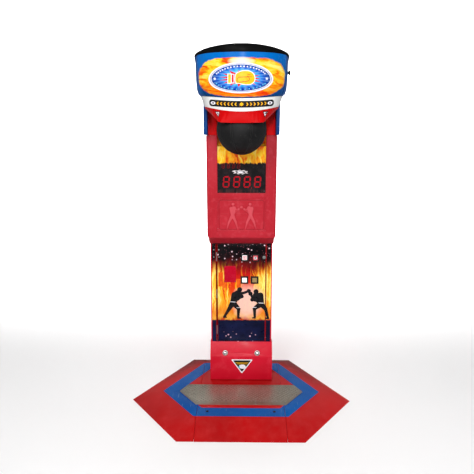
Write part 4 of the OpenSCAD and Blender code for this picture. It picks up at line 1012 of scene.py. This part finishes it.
# seven-bar digits in unlit dark red; their faint glow is painted light
def led(name, c1, c2, e):
    t = NT(name); c = t.coord()
    n = t.noise(c, 120, 3, 0.5)
    v = t.voro(c, 380, "F1", rnd=0.1)
    cc = t.mix(t.rng(v, 0.1, 0.6), c1, c2)
    t.set(color=cc, rough=t.rng(n, 0.3, 0.7, 0.18, 0.3), normal=t.bump(v, 0.1, 0.0004), emit=cc)
    t.b.inputs["Emission Strength"].default_value = e
    return t.m
LED_D = led("digit_bars", (186, 16, 34), (130, 6, 18), 0.3)
LED_S = led("small_digit_bars", (130, 12, 18), (80, 4, 10), 0.15)
def seg(cx, cz, w, h, th, on="0123456"):
    """Bars of one digit as outlines; slanted a little."""
    g = th * 0.14; hw, hh = w / 2 - th / 2, h / 2 - th / 2
    def bar(x0, z0, x1, z1):
        k = th / 2
        if abs(x1 - x0) > abs(z1 - z0): P = [(x0 + g, z0), (x0 + g + k, z0 + k), (x1 - g - k, z0 + k), (x1 - g, z0), (x1 - g - k, z0 - k), (x0 + g + k, z0 - k)]
        else: P = [(x0, z0 + g), (x0 + k, z0 + g + k), (x0 + k, z1 - g - k), (x0, z1 - g), (x0 - k, z1 - g - k), (x0 - k, z0 + g + k)]
        return [(cx + a + 0.08 * b, cz + b) for a, b in P]
    A = {"0": bar(-hw, hh, hw, hh), "1": bar(hw, 0, hw, hh), "2": bar(hw, -hh, hw, 0), "3": bar(-hw, -hh, hw, -hh), "4": bar(-hw, -hh, -hw, 0), "5": bar(-hw, 0, -hw, hh), "6": bar(-hw, 0, hw, 0)}
    return [A[k] for k in on]
BG = []
for cx in (-93, -29.5, 34, 97.5):
    BG += seg(cx, 1389, 42, 70, 8.5)
D.append(decal("dg", BG, FLAT(52.6), 0.35, LED_D, sub=0))
SM = []
for i in range(4): SM += seg(-110.5 + 31 * i, 1484, 19, 27, 3.6)
D.append(decal("ds", SM, FLAT(52.6), 0.35, LED_S, sub=0))
D.append(decal("dt", [ell(-4.0 + 52 * 0 + 64, 1352, 2.6, 2.6, 16)], FLAT(52.6), 0.35, LED_D, sub=0))
# pale speed streak above the digits
def streak(cx, cz, s):
    P = [(-58, 6), (-40, 11), (-22, 9), (-6, 16), (4, 10), (20, 13), (34, 6), (48, 7), (38, -1), (50, -8), (28, -7), (12, -15), (2, -8), (-16, -14), (-26, -6), (-46, -9), (-38, 0)]
    return [(cx + a * s, cz + b * s) for a, b in P]
D.append(decal("sk", [streak(-6, 1448, 0.95)], FLAT(52.6), 0.3, gm("streak_print", (0.72, 0.66, 0.66), (0.42, 0.36, 0.37), rough=0.2, emit=0.05), sub=0))
D.append(decal("sk2", [streak(-6, 1448, 0.62)], FLAT(52.3), 0.3, INK_K, sub=0))
D.append(decal("sk3", [streak(-6, 1448, 0.4)], FLAT(52.0), 0.3, INK_W, sub=0))
put(join("display_front", D), "cabinet", SLOT["display_window"])
# corner screws of the window
S = [screw("s", (x, 0.0526, z), 0.0034, 0.0013, DARKSTEEL, "cross", "-y") for x in (-0.139, 0.139) for z in (1.333, 1.5)]
put(join("window_screws", S), "cabinet", SLOT["display_window"])

# relief plate: a height field of two generic boxers inside a moulded border
def sdseg(px, pz, a, b, ra, rb):
    ax, az = a; bx, bz = b
    vx, vz = bx - ax, bz - az; L2 = vx * vx + vz * vz + 1e-9
    t = np.clip(((px - ax) * vx + (pz - az) * vz) / L2, 0, 1)
    dx, dz = px - (ax + vx * t), pz - (az + vz * t)
    r = ra + (rb - ra) * t
    return np.sqrt(dx * dx + dz * dz) - r, r
def boxer(s, ox):
    """Limbs of a generic boxer facing +s, as capsules (x, z) with radii, in mm from the plate's centre."""
    J = dict(h=(0, 62), n=(0, 48), sh=(4, 38), sb=(-10, 38), w=(-3, 2), k1=(14, -34), f1=(26, -76), k2=(-22, -36), f2=(-34, -76), e1=(24, 30), g1=(46, 46), e2=(8, 14), g2=(30, 34))
    J = {k: (ox + s * v[0] * 1.14, v[1] * 1.14 - 4) for k, v in J.items()}
    return [(J["h"], J["h"], 11, 11), (J["n"], J["sh"], 6, 7), (J["sh"], J["w"], 17, 12), (J["sb"], J["w"], 13, 12), (J["w"], J["k1"], 13, 9), (J["k1"], J["f1"], 9, 5.5), (J["w"], J["k2"], 12, 9), (J["k2"], J["f2"], 9, 5.5),
            (J["sh"], J["e1"], 8, 6.5), (J["e1"], J["g1"], 6, 5), (J["g1"], J["g1"], 10, 10), (J["sb"], J["e2"], 8, 6), (J["e2"], J["g2"], 6, 5), (J["g2"], J["g2"], 9.5, 9.5),
            (J["f1"], (J["f1"][0] + s * 9, J["f1"][1] - 2), 4.5, 3.5), (J["f2"], (J["f2"][0] + s * 9, J["f2"][1] - 2), 4.5, 3.5)]
def relief_mat():
    t = NT("relief_moulding_plastic"); c = t.coord(); x, y, z = t.sep(c)
    big = t.noise(c, 3.2, 3); mid = t.noise(c, 26, 5, 0.6)
    cc = t.mix(t.rng(big, 0.3, 0.7), (170, 26, 40), (184, 38, 52))
    cc = t.mix(t.rng(mid, 0.5, 0.75, 0, 0.28), cc, (208, 84, 96))
    # painted shade in the deepest recesses and painted highlight on the most raised faces, both set by depth
    deep = t.rng(y, 0.0438, 0.0448)
    cc = t.mix(t.math("MULTIPLY", deep, 0.75), cc, (104, 8, 18))
    high = t.rng(y, 0.0418, 0.0408)
    cc = t.mix(t.math("MULTIPLY", high, 0.5), cc, (214, 92, 102))
    t.set(color=cc, rough=t.rng(mid, 0.3, 0.7, 0.4, 0.55), normal=t.bump(t.noise(c, 420, 3), 0.12, 0.0006))
    return t.m
def relief():
    X0, X1, Z0, Z1 = -146.7, 146.7, 1088.3, 1286.7
    nx, nz = 220, 150
    xs = np.linspace(X0, X1, nx); zs = np.linspace(Z0, Z1, nz)
    X, Z = np.meshgrid(xs, zs); Zc = Z - (Z0 + Z1) / 2
    H = np.zeros_like(X)
    # rounded-rectangle distance
    qx = np.abs(X) - (X1 - X0) / 2 + 22; qz = np.abs(Zc) - (Z1 - Z0) / 2 + 22
    sd = np.hypot(np.maximum(qx, 0), np.maximum(qz, 0)) + np.minimum(np.maximum(qx, qz), 0) - 22
    din = -sd
    frame_ = np.clip((11 - np.abs(din - 6)) / 6, 0, 1); 
    H += 0.5 * np.clip((8 - din) / 3.0, 0, 1)
    B_ = np.full_like(X, -1e9); SDU = np.full_like(X, 1e9)
    for s, ox in ((1, -52), (-1, 52)):
        for a, b, ra, rb in boxer(s, ox):
            d, r = sdseg(X, Zc, a, b, ra, rb)
            SDU = np.minimum(SDU, d)
            h = np.where(d < 0, np.sqrt(np.clip(r * r - (d + r) ** 2, 0, None)) / r, -1)
            hh = np.where(d < 0, 1.2 + 2.2 * h * np.minimum(1, r / 12), -1e9)
            B_ = np.maximum(B_, hh)
    H = np.where(B_ > -1e8, np.maximum(H, B_), H)
    # ropes behind the figures and a floor line
    for zr in (-22, 6, 34):
        rp = np.where(np.abs(Zc - zr) < 2.4, 0.9 * np.sqrt(np.clip(1 - ((Zc - zr) / 2.4) ** 2, 0, 1)), 0)
        H = np.where((din > 19) & (B_ < -1e8), np.maximum(H, rp), H)
    fl_ = np.clip((Zc * -1 - 80) / 2, 0, 1) * 1.0
    H = np.where((din > 19) & (B_ < -1e8), np.maximum(H, fl_), H)
    H = np.where((np.abs(SDU) < 4.5), H - 1.3 * np.exp(-(SDU / 1.5) ** 2), H)
    H -= 1.5 * np.exp(-((din - 8.5) / 1.7) ** 2)
    for _ in range(1):
        P_ = np.pad(H, 1, mode="edge"); H = (4 * H + P_[:-2, 1:-1] + P_[2:, 1:-1] + P_[1:-1, :-2] + P_[1:-1, 2:]) / 8
    base = 43.6
    V = []; F = []
    for j in range(nz):
        for i in range(nx): V.append((X[j, i] / 1000, (base - H[j, i]) / 1000, Z[j, i] / 1000))
    for j in range(nz - 1):
        for i in range(nx - 1):
            a = j * nx + i; F.append((a, a + 1, a + nx + 1, a + nx))
    off = len(V)
    loop = [i for i in range(nx)] + [j * nx + nx - 1 for j in range(1, nz)] + [(nz - 1) * nx + i for i in range(nx - 2, -1, -1)] + [j * nx for j in range(nz - 2, 0, -1)]
    for k in loop: V.append((V[k][0], 0.0455, V[k][2]))
    n = len(loop)
    for k in range(n): F.append((loop[k], off + k, off + (k + 1) % n, loop[(k + 1) % n]))
    F.append(tuple(off + k for k in range(n))[::-1])
    o = mesh_obj("relief_figures", V, F, relief_mat())
    bm = bmesh.new(); bm.from_mesh(o.data); bmesh.ops.recalc_face_normals(bm, faces=bm.faces[:]); bm.to_mesh(o.data); bm.free()
    return sharp(o, 70)
put(relief(), "cabinet", SLOT["relief_plate"], "relief_plate")

# bay back: flame artwork on the scoop
def bay_mat():
    t = NT("bay_artwork"); c = t.coord(); x, y, z = t.sep(c)
    fl, f = flame_field(t, c, (120, 16, 6), (226, 90, 10), (248, 176, 28), (255, 226, 130), 1.0)
    n = t.noise(c, 20, 4, 0.6)
    cc = t.mix(t.rng(z, 1.7, 1.86), fl, (0.02, 0.018, 0.018))
    t.set(color=cc, rough=t.rng(n, 0.3, 0.7, 0.3, 0.42), normal=t.bump(n, 0.04, 0.001))
    return t.m
N_S = bpy.data.objects["scoop_panel_fine"]; N_S.data.materials.clear(); N_S.data.materials.append(bay_mat())

# ---------------------------------------------------------------- front door and frame artwork
def door_art():
    t = NT("door_artwork"); c = t.coord(); x, y, z = t.sep(c)
    w1 = t.noise(t.mapping(c, (1, 1, 0.35)), 22, 5, 0.62)
    w2 = t.noise(t.mapping(c, (1, 1, 1)), 12, 4, 0.6)
    zz = t.math("ADD", z, t.math("MULTIPLY", t.math("SUBTRACT", w1, 0.5), 0.12))
    zz = t.math("ADD", zz, t.math("MULTIPLY", t.math("SUBTRACT", w2, 0.5), 0.1))
    k = t.rng(zz, 0.46, 0.99)
    cc = t.ramp(k, [(0.0, (196, 60, 16)), (0.05, (240, 170, 60)), (0.12, (236, 130, 34)), (0.3, (236, 88, 14)), (0.5, (214, 40, 10)), (0.62, (190, 18, 12)), (0.72, (110, 6, 10)), (0.8, (26, 3, 7)), (0.88, (7, 4, 8)), (1.0, (5, 4, 8))])
    # tongues of flame: strong at both edges, lower between
    ax = t.math("ABSOLUTE", x)
    wob = t.math("ADD", x, t.math("MULTIPLY", t.math("SUBTRACT", w2, 0.5), 0.05))
    tong = t.noise(t.comb(t.math("MULTIPLY", wob, 42), 0.0, t.math("MULTIPLY", z, 5)), 1.0, 4, 0.6, 0.6)
    side = t.rng(ax, 0.05, 0.16, -0.03, 0.17)
    zr = t.math("MULTIPLY", t.rng(z, 0.5, 0.62, smooth=True), t.rng(z, 0.74, 0.88, 1, 0, smooth=True))
    hot = t.math("MULTIPLY", t.rng(t.math("ADD", tong, side), 0.5, 0.62), zr)
    cc = t.mix(hot, cc, (252, 178, 24))
    hot2 = t.math("MULTIPLY", t.rng(t.math("ADD", tong, side), 0.62, 0.74), zr)
    cc = t.mix(hot2, cc, (255, 236, 120))
    # pale glow behind the figures
    dx = t.math("DIVIDE", t.math("SUBTRACT", x, 0.05), 0.125); dz = t.math("DIVIDE", t.math("SUBTRACT", z, 0.6), 0.13)
    r2 = t.math("ADD", t.math("MULTIPLY", dx, dx), t.math("MULTIPLY", dz, dz))
    r2 = t.math("ADD", r2, t.math("MULTIPLY", t.math("SUBTRACT", w2, 0.5), 0.9))
    cc = t.mix(t.rng(r2, 0.25, 1.0, 0.86, 0), cc, (252, 206, 190))
    # smoke in the dark sky, then sparks
    sky = t.rng(z, 0.83, 0.9)
    sm = t.noise(c, 30, 6, 0.65)
    cc = t.mix(t.math("MULTIPLY", sky, t.rng(sm, 0.55, 0.8, 0, 0.35)), cc, (110, 46, 52))
    sp = t.voro(c, 34, "F1"); sp2 = t.voro(t.mapping(c, loc=(0.31, 0, 0.17)), 78, "F1")
    dark = t.math("MAXIMUM", sky, t.rng(z, 0.36, 0.37, 1, 0))
    cc = t.mix(t.math("MULTIPLY", dark, t.rng(sp, 0.11, 0.19, 1, 0)), cc, (250, 214, 226))
    cc = t.mix(t.math("MULTIPLY", dark, t.rng(sp2, 0.08, 0.14, 0.8, 0)), cc, (230, 130, 150))
    # navy band at the bottom
    ez = t.math("ADD", z, t.math("MULTIPLY", t.math("SUBTRACT", t.noise(c, 60, 3), 0.5), 0.012))
    navy = t.rng(ez, 0.4665, 0.4695, 1, 0)
    nc = t.mix(t.rng(w2, 0.4, 0.7), (8, 14, 42), (20, 28, 66))
    nc = t.mix(t.math("MULTIPLY", t.rng(z, 0.36, 0.39, 1, 0), t.rng(sp, 0.15, 0.22, 1, 0)), nc, (240, 190, 214))
    nc = t.mix(t.math("MULTIPLY", t.rng(z, 0.36, 0.4, 1, 0), t.rng(sm, 0.5, 0.75, 0, 0.6)), nc, (6, 4, 8))
    cc = t.mix(navy, cc, nc)
    # edges of the print are worn back to the red paint
    wear = t.rng(t.math("ADD", ax, t.math("MULTIPLY", t.math("SUBTRACT", t.noise(c, 90, 4), 0.5), 0.006)), 0.1925, 0.1945)
    cc = t.mix(wear, cc, (196, 12, 26))
    d = t.noise(c, 90, 4, 0.6)
    cc = t.mix(t.rng(d, 0.62, 0.75, 0, 0.2), cc, (60, 40, 36))
    n = t.noise(c, 26, 4, 0.6)
    # the print stops at the front face: edges and inner face are plain red paint
    plain = t.mix(t.rng(n, 0.3, 0.7), (186, 14, 32), (166, 8, 22))
    cc = t.mix(t.rng(y, 0.1309, 0.1312), cc, plain)
    t.set(color=cc, rough=t.rng(n, 0.3, 0.7, 0.26, 0.38), normal=t.bump(t.noise(c, 480, 2), 0.05, 0.0005))
    t.b.inputs["Coat Weight"].default_value = 0.2
    t.b.inputs["Coat Roughness"].default_value = 0.1
    return t.m
ART = door_art()
rounded("front_frame", 0.0006, 2, mat=ART)
rounded("front_door", 0.0008, 2, mat=ART)

def cap(a, b, ra, rb, n=14):
    dx, dz = b[0] - a[0], b[1] - a[1]; th = math.atan2(dz, dx) if (dx or dz) else 0.0
    L = [(a[0] + ra * math.cos(th + math.pi / 2 + math.pi * i / n), a[1] + ra * math.sin(th + math.pi / 2 + math.pi * i / n)) for i in range(n + 1)]
    return L + [(b[0] + rb * math.cos(th - math.pi / 2 + math.pi * i / n), b[1] + rb * math.sin(th - math.pi / 2 + math.pi * i / n)) for i in range(n + 1)]
def fighter(s, ox, oz, k, J):
    J = {q: (ox + s * k * v[0], oz + k * v[1]) for q, v in J.items()}
    L = [("h", "h", 11, 12), ("n", "sh", 7, 8), ("sh", "w", 17, 13), ("sb", "w", 14, 13), ("sb", "sh", 12, 13), ("w", "k1", 14, 8.5), ("k1", "f1", 8, 5), ("w", "k2", 13, 8.5), ("k2", "f2", 8, 5),
         ("sh", "e1", 8, 6.5), ("e1", "g1", 6.5, 5), ("g1", "g1", 10, 9), ("sb", "e2", 8, 6), ("e2", "g2", 6, 5), ("g2", "g2", 9.5, 9)]
    out = [cap(J[a], J[b], ra * k, rb * k) for a, b, ra, rb in L]
    for f in ("f1", "f2"): out.append(cap(J[f], (J[f][0] + s * 10 * k, J[f][1] - 1 * k), 4.6 * k, 3.2 * k))
    return out, J
JA = dict(h=(22, 58), n=(17, 46), sh=(14, 38), sb=(0, 34), w=(-8, -4), k1=(18, -32), f1=(16, -76), k2=(-26, -36), f2=(-48, -72), e1=(40, 42), g1=(64, 52), e2=(14, 12), g2=(32, 26))
JB = dict(h=(10, 52), n=(6, 42), sh=(8, 32), sb=(-10, 34), w=(-14, -6), k1=(16, -28), f1=(14, -72), k2=(-34, -30), f2=(-46, -74), e1=(24, 22), g1=(34, 42), e2=(6, 8), g2=(26, 14))
F = []
fa, ja = fighter(1, -44, 594, 1.46, JA); fb, jb = fighter(-1, 110, 590, 1.46, JB)
for i, L in enumerate(fa + fb): F.append(decal("fg", [L], FLAT(130 - 0.004 * i), 0.2, INK_K, sub=0))
for J, s in ((ja, 1), (jb, -1)):
    w_ = J["w"]
    F.append(decal("belt", [[(w_[0] - 17, w_[1] + 9), (w_[0] + 17, w_[1] + 7), (w_[0] + 17, w_[1] + 3), (w_[0] - 17, w_[1] + 5)]], FLAT(129.66), 0.15, INK_W, sub=0))
    k_ = J["k1"]
    F.append(decal("hem", [[(k_[0] - 13, k_[1] + 9), (k_[0] + 13, k_[1] + 9), (k_[0] + 13, k_[1] + 6), (k_[0] - 13, k_[1] + 6)]], FLAT(129.66), 0.15, INK_W, sub=0))
# orange blocks behind the crimson plate, as in a burnt skyline
for bx, bz, bw, bh in ((-150, 700, 30, 96), (-116, 690, 22, 50), (-30, 690, 26, 62)):
    F.append(decal("blk", [[(bx, bz), (bx + bw, bz), (bx + bw, bz + bh), (bx, bz + bh)]], FLAT(130), 0.08, gm("skyline_print", (236, 104, 18), (210, 60, 12), rough=0.34), sub=0))
# red edge strips of the door
for x0, x1 in ((-157, -154.6), (155.8, 158.2)):
    F.append(decal("edge", [[(x0, 322), (x1, 322), (x1, 983), (x0, 983)]], FLAT(130), 0.12, DARKRED, sub=0))
put(join("door_print_details", F), "door", SLOT["front_door"])
F = []
for x0, x1 in ((-166.5, -163.8), (160.8, 163.4)):
    F.append(decal("edge", [[(x0, 322), (x1, 322), (x1, 983), (x0, 983)]], FLAT(130), 0.12, DARKRED, sub=0))
for s in (-1, 1):
    F.append(decal("rim", [[(s * 193.4, 322), (s * 196.9, 322), (s * 196.9, 986), (s * 193.4, 986)]], FLAT(130), 0.15, RED2, sub=0))
put(join("frame_print_details", F), "cabinet", SLOT["front_frame"])

rounded("blanking_plate", 0.0006, 2, mat=CRIMSON)
S = [screw("s", (x, 0.1285, z), 0.003, 0.0012, DARKSTEEL, "cross", "-y") for x in (-0.106, -0.041) for z in (0.735, 0.833)]
put(join("plate_screws", S), "door", SLOT["blanking_plate"])
rounded("button_bezels", 0.0014, 3, mat=BLACKP)
rounded("start_button_white", 0.0016, 3, mat=L_WHITE)
rounded("start_button_amber", 0.0016, 3, mat=L_AMBER)
rounded("coin_button_left", 0.0016, 3, mat=L_WHITE)
rounded("coin_button_right", 0.0016, 3, mat=L_RED)
# plain patterns on the coin buttons: a red lattice and a coin with a slot
L = []
for k in range(3):
    v = -9 + 9 * k
    L.append(decal("g", [[(21 + v - 1.6, 895 - 12), (21 + v + 1.6, 895 - 12), (21 + v + 1.6, 895 + 12), (21 + v - 1.6, 895 + 12)]], FLAT(123.5), 0.25, INK_R, sub=0))
    L.append(decal("g", [[(21 - 12, 895 + v - 1.6), (21 + 12, 895 + v - 1.6), (21 + 12, 895 + v + 1.6), (21 - 12, 895 + v + 1.6)]], FLAT(123.45), 0.25, INK_R, sub=0))
put(join("coin_left_pattern", L), BODY["coin_button_left"], SLOT["coin_button_left"])
L = [decal("g", [ell(90, 894, 11, 11, 40)], FLAT(123.5), 0.25, gm("coin_grey", (0.6, 0.6, 0.6), (0.4, 0.4, 0.42), rough=0.35), sub=0),
     decal("g", [[(88.6, 886), (91.4, 886), (91.4, 902), (88.6, 902)]], FLAT(123.25), 0.2, INK_K, sub=0)]
put(join("coin_right_pattern", L), BODY["coin_button_right"], SLOT["coin_button_right"])
rounded("front_lock", 0.0008, 2, mat=CHROME)
L = [decal("k", [ell(146, 899, 5.6, 5.6, 32)], FLAT(120.2), 0.4, STEELX, sub=0), decal("k", [[(145.2, 895.5), (146.8, 895.5), (146.8, 902.5), (145.2, 902.5)]], FLAT(119.8), 0.15, INK_K, sub=0)]
put(join("front_lock_keyway", L), BODY["front_lock"], SLOT["front_lock"])
rounded("head_lock", 0.0022, 3, mat=BLACKP)

# ---------------------------------------------------------------- kick cover badge and foot strip
def tri3(cx, cz, w, h, r):
    P = [(cx - w / 2, cz + h / 2), (cx + w / 2, cz + h / 2), (cx, cz - h / 2)]
    out = []
    for i in range(3):
        a, b, c = P[i - 1], P[i], P[(i + 1) % 3]
        u = ((a[0] - b[0]), (a[1] - b[1])); v = ((c[0] - b[0]), (c[1] - b[1])); lu = math.hypot(*u); lv_ = math.hypot(*v)
        p = (b[0] + u[0] / lu * r, b[1] + u[1] / lu * r); q = (b[0] + v[0] / lv_ * r, b[1] + v[1] / lv_ * r)
        for k in range(7):
            t_ = k / 6; out.append(((1 - t_) ** 2 * p[0] + 2 * t_ * (1 - t_) * b[0] + t_ * t_ * q[0], (1 - t_) ** 2 * p[1] + 2 * t_ * (1 - t_) * b[1] + t_ * t_ * q[1]))
    return out
OL = gm("badge_olive", (0.012, 0.012, 0.008), (0.03, 0.028, 0.016), rough=0.35)
Bd = [decal("bd", [tri3(5, 156, 146, 102, 11)], FLAT(87), 0.3, INK_W, sub=0),
      decal("bd", [tri3(5, 158.5, 122, 84, 9)], FLAT(86.7), 0.2, OL, sub=0),
      decal("bd", [glove(7, 154, 0.56)], FLAT(86.5), 0.2, INK_W, sub=0),
      decal("bd", [[(-16, 146), (-8, 145), (-8, 159), (-16, 160)]], FLAT(86.3), 0.15, INK_C, sub=0),
      decal("bd", [[(-40, 184), (50, 184), (48, 180.5), (-38, 180.5)]], FLAT(86.5), 0.2, INK_Y, sub=0),
      decal("bd", [[(-28, 176), (38, 176), (36, 173), (-26, 173)]], FLAT(86.5), 0.2, INK_Y, sub=0)]
put(join("kick_badge", Bd), "cabinet", SLOT["kick_cover"])
St = rbox("kick_foot_strip", (-0.2058, 0.0845, 0.0552), (0.2058, 0.0872, 0.0635), 0.0008, 2, DARKRED)
put(St, "cabinet", SLOT["kick_cover"])
# rubber feet of a weld seam along the platform joints are left to the CAD gaps

# narrow strips behind the seam between the moulding's top and the cheeks, so no light shows through it
for s_ in (-1, 1):
    xs_ = sorted((s_ * 0.1515, s_ * 0.185))
    put(rbox("seam_strip_" + ("r" if s_ > 0 else "l"), (xs_[0], 0.0615, 1.652), (xs_[1], 0.0635, 1.682), 0.0004, 1, RED2), "cabinet", "red_steel")
    xs_ = sorted((s_ * 0.186, s_ * 0.2095))
    put(rbox("seam_strip_outer_" + ("r" if s_ > 0 else "l"), (xs_[0], 0.0615, 1.652), (xs_[1], 0.0635, 1.6676), 0.0004, 1, RED2), "cabinet", "red_steel")

# ---------------------------------------------------------------- what still shows as CAD takes a full material
FALL = {"red_steel": RED, "dark_red_steel": DARKRED, "red_moulding": MOULD, "blue_paint": BLUED, "blue_band": BAND, "tread": TREAD, "steel": STEEL, "chrome": CHROME,
        "black_plastic": BLACKP, "black_gloss": BLACKG, "print": INK_R, "white_print": INK_W, "button_white": L_WHITE, "button_amber": L_AMBER, "button_red": L_RED,
        "crimson": CRIMSON, "circuit": PCB, "leds": L_RED, "smoked": BLACKG, "lamp": L_WHITE, "ball": LEATHER, "foam": FOAM, "coil": COIL}
for n_, o_ in N.items():
    m_ = FALL[SLOT[n_]]
    if len(o_.material_slots) == 0: o_.data.materials.append(m_)
    for s_ in o_.material_slots: s_.material = m_

# painted and printed faces take little shine, so their colours stay deep on a white floor
KEEP = {"display_face": (0.22, 0.25), "pale_floor": (0.2, 0.0), "crown_black_plastic": (0.02, 0.0), "marquee_artwork": (0.04, 0.0), "emblem_centre": (0.04, 0.0), "blue_plastic": (0.05, 0.0), "lip_red_plastic": (0.05, 0.0), "red_paint": (0.08, 0.0), "white_lens": (0.5, 0.5), "amber_lens": (0.5, 0.5), "red_lens": (0.5, 0.5)}
for m_ in bpy.data.materials:
    if not m_.use_nodes: continue
    for b_ in m_.node_tree.nodes:
        if b_.type != "BSDF_PRINCIPLED" or b_.inputs["Metallic"].default_value > 0.5: continue
        sp_, co_ = KEEP.get(m_.name, (min(b_.inputs["Specular IOR Level"].default_value, 0.13), b_.inputs["Coat Weight"].default_value * 0.16))
        b_.inputs["Specular IOR Level"].default_value = sp_
        b_.inputs["Coat Weight"].default_value = co_
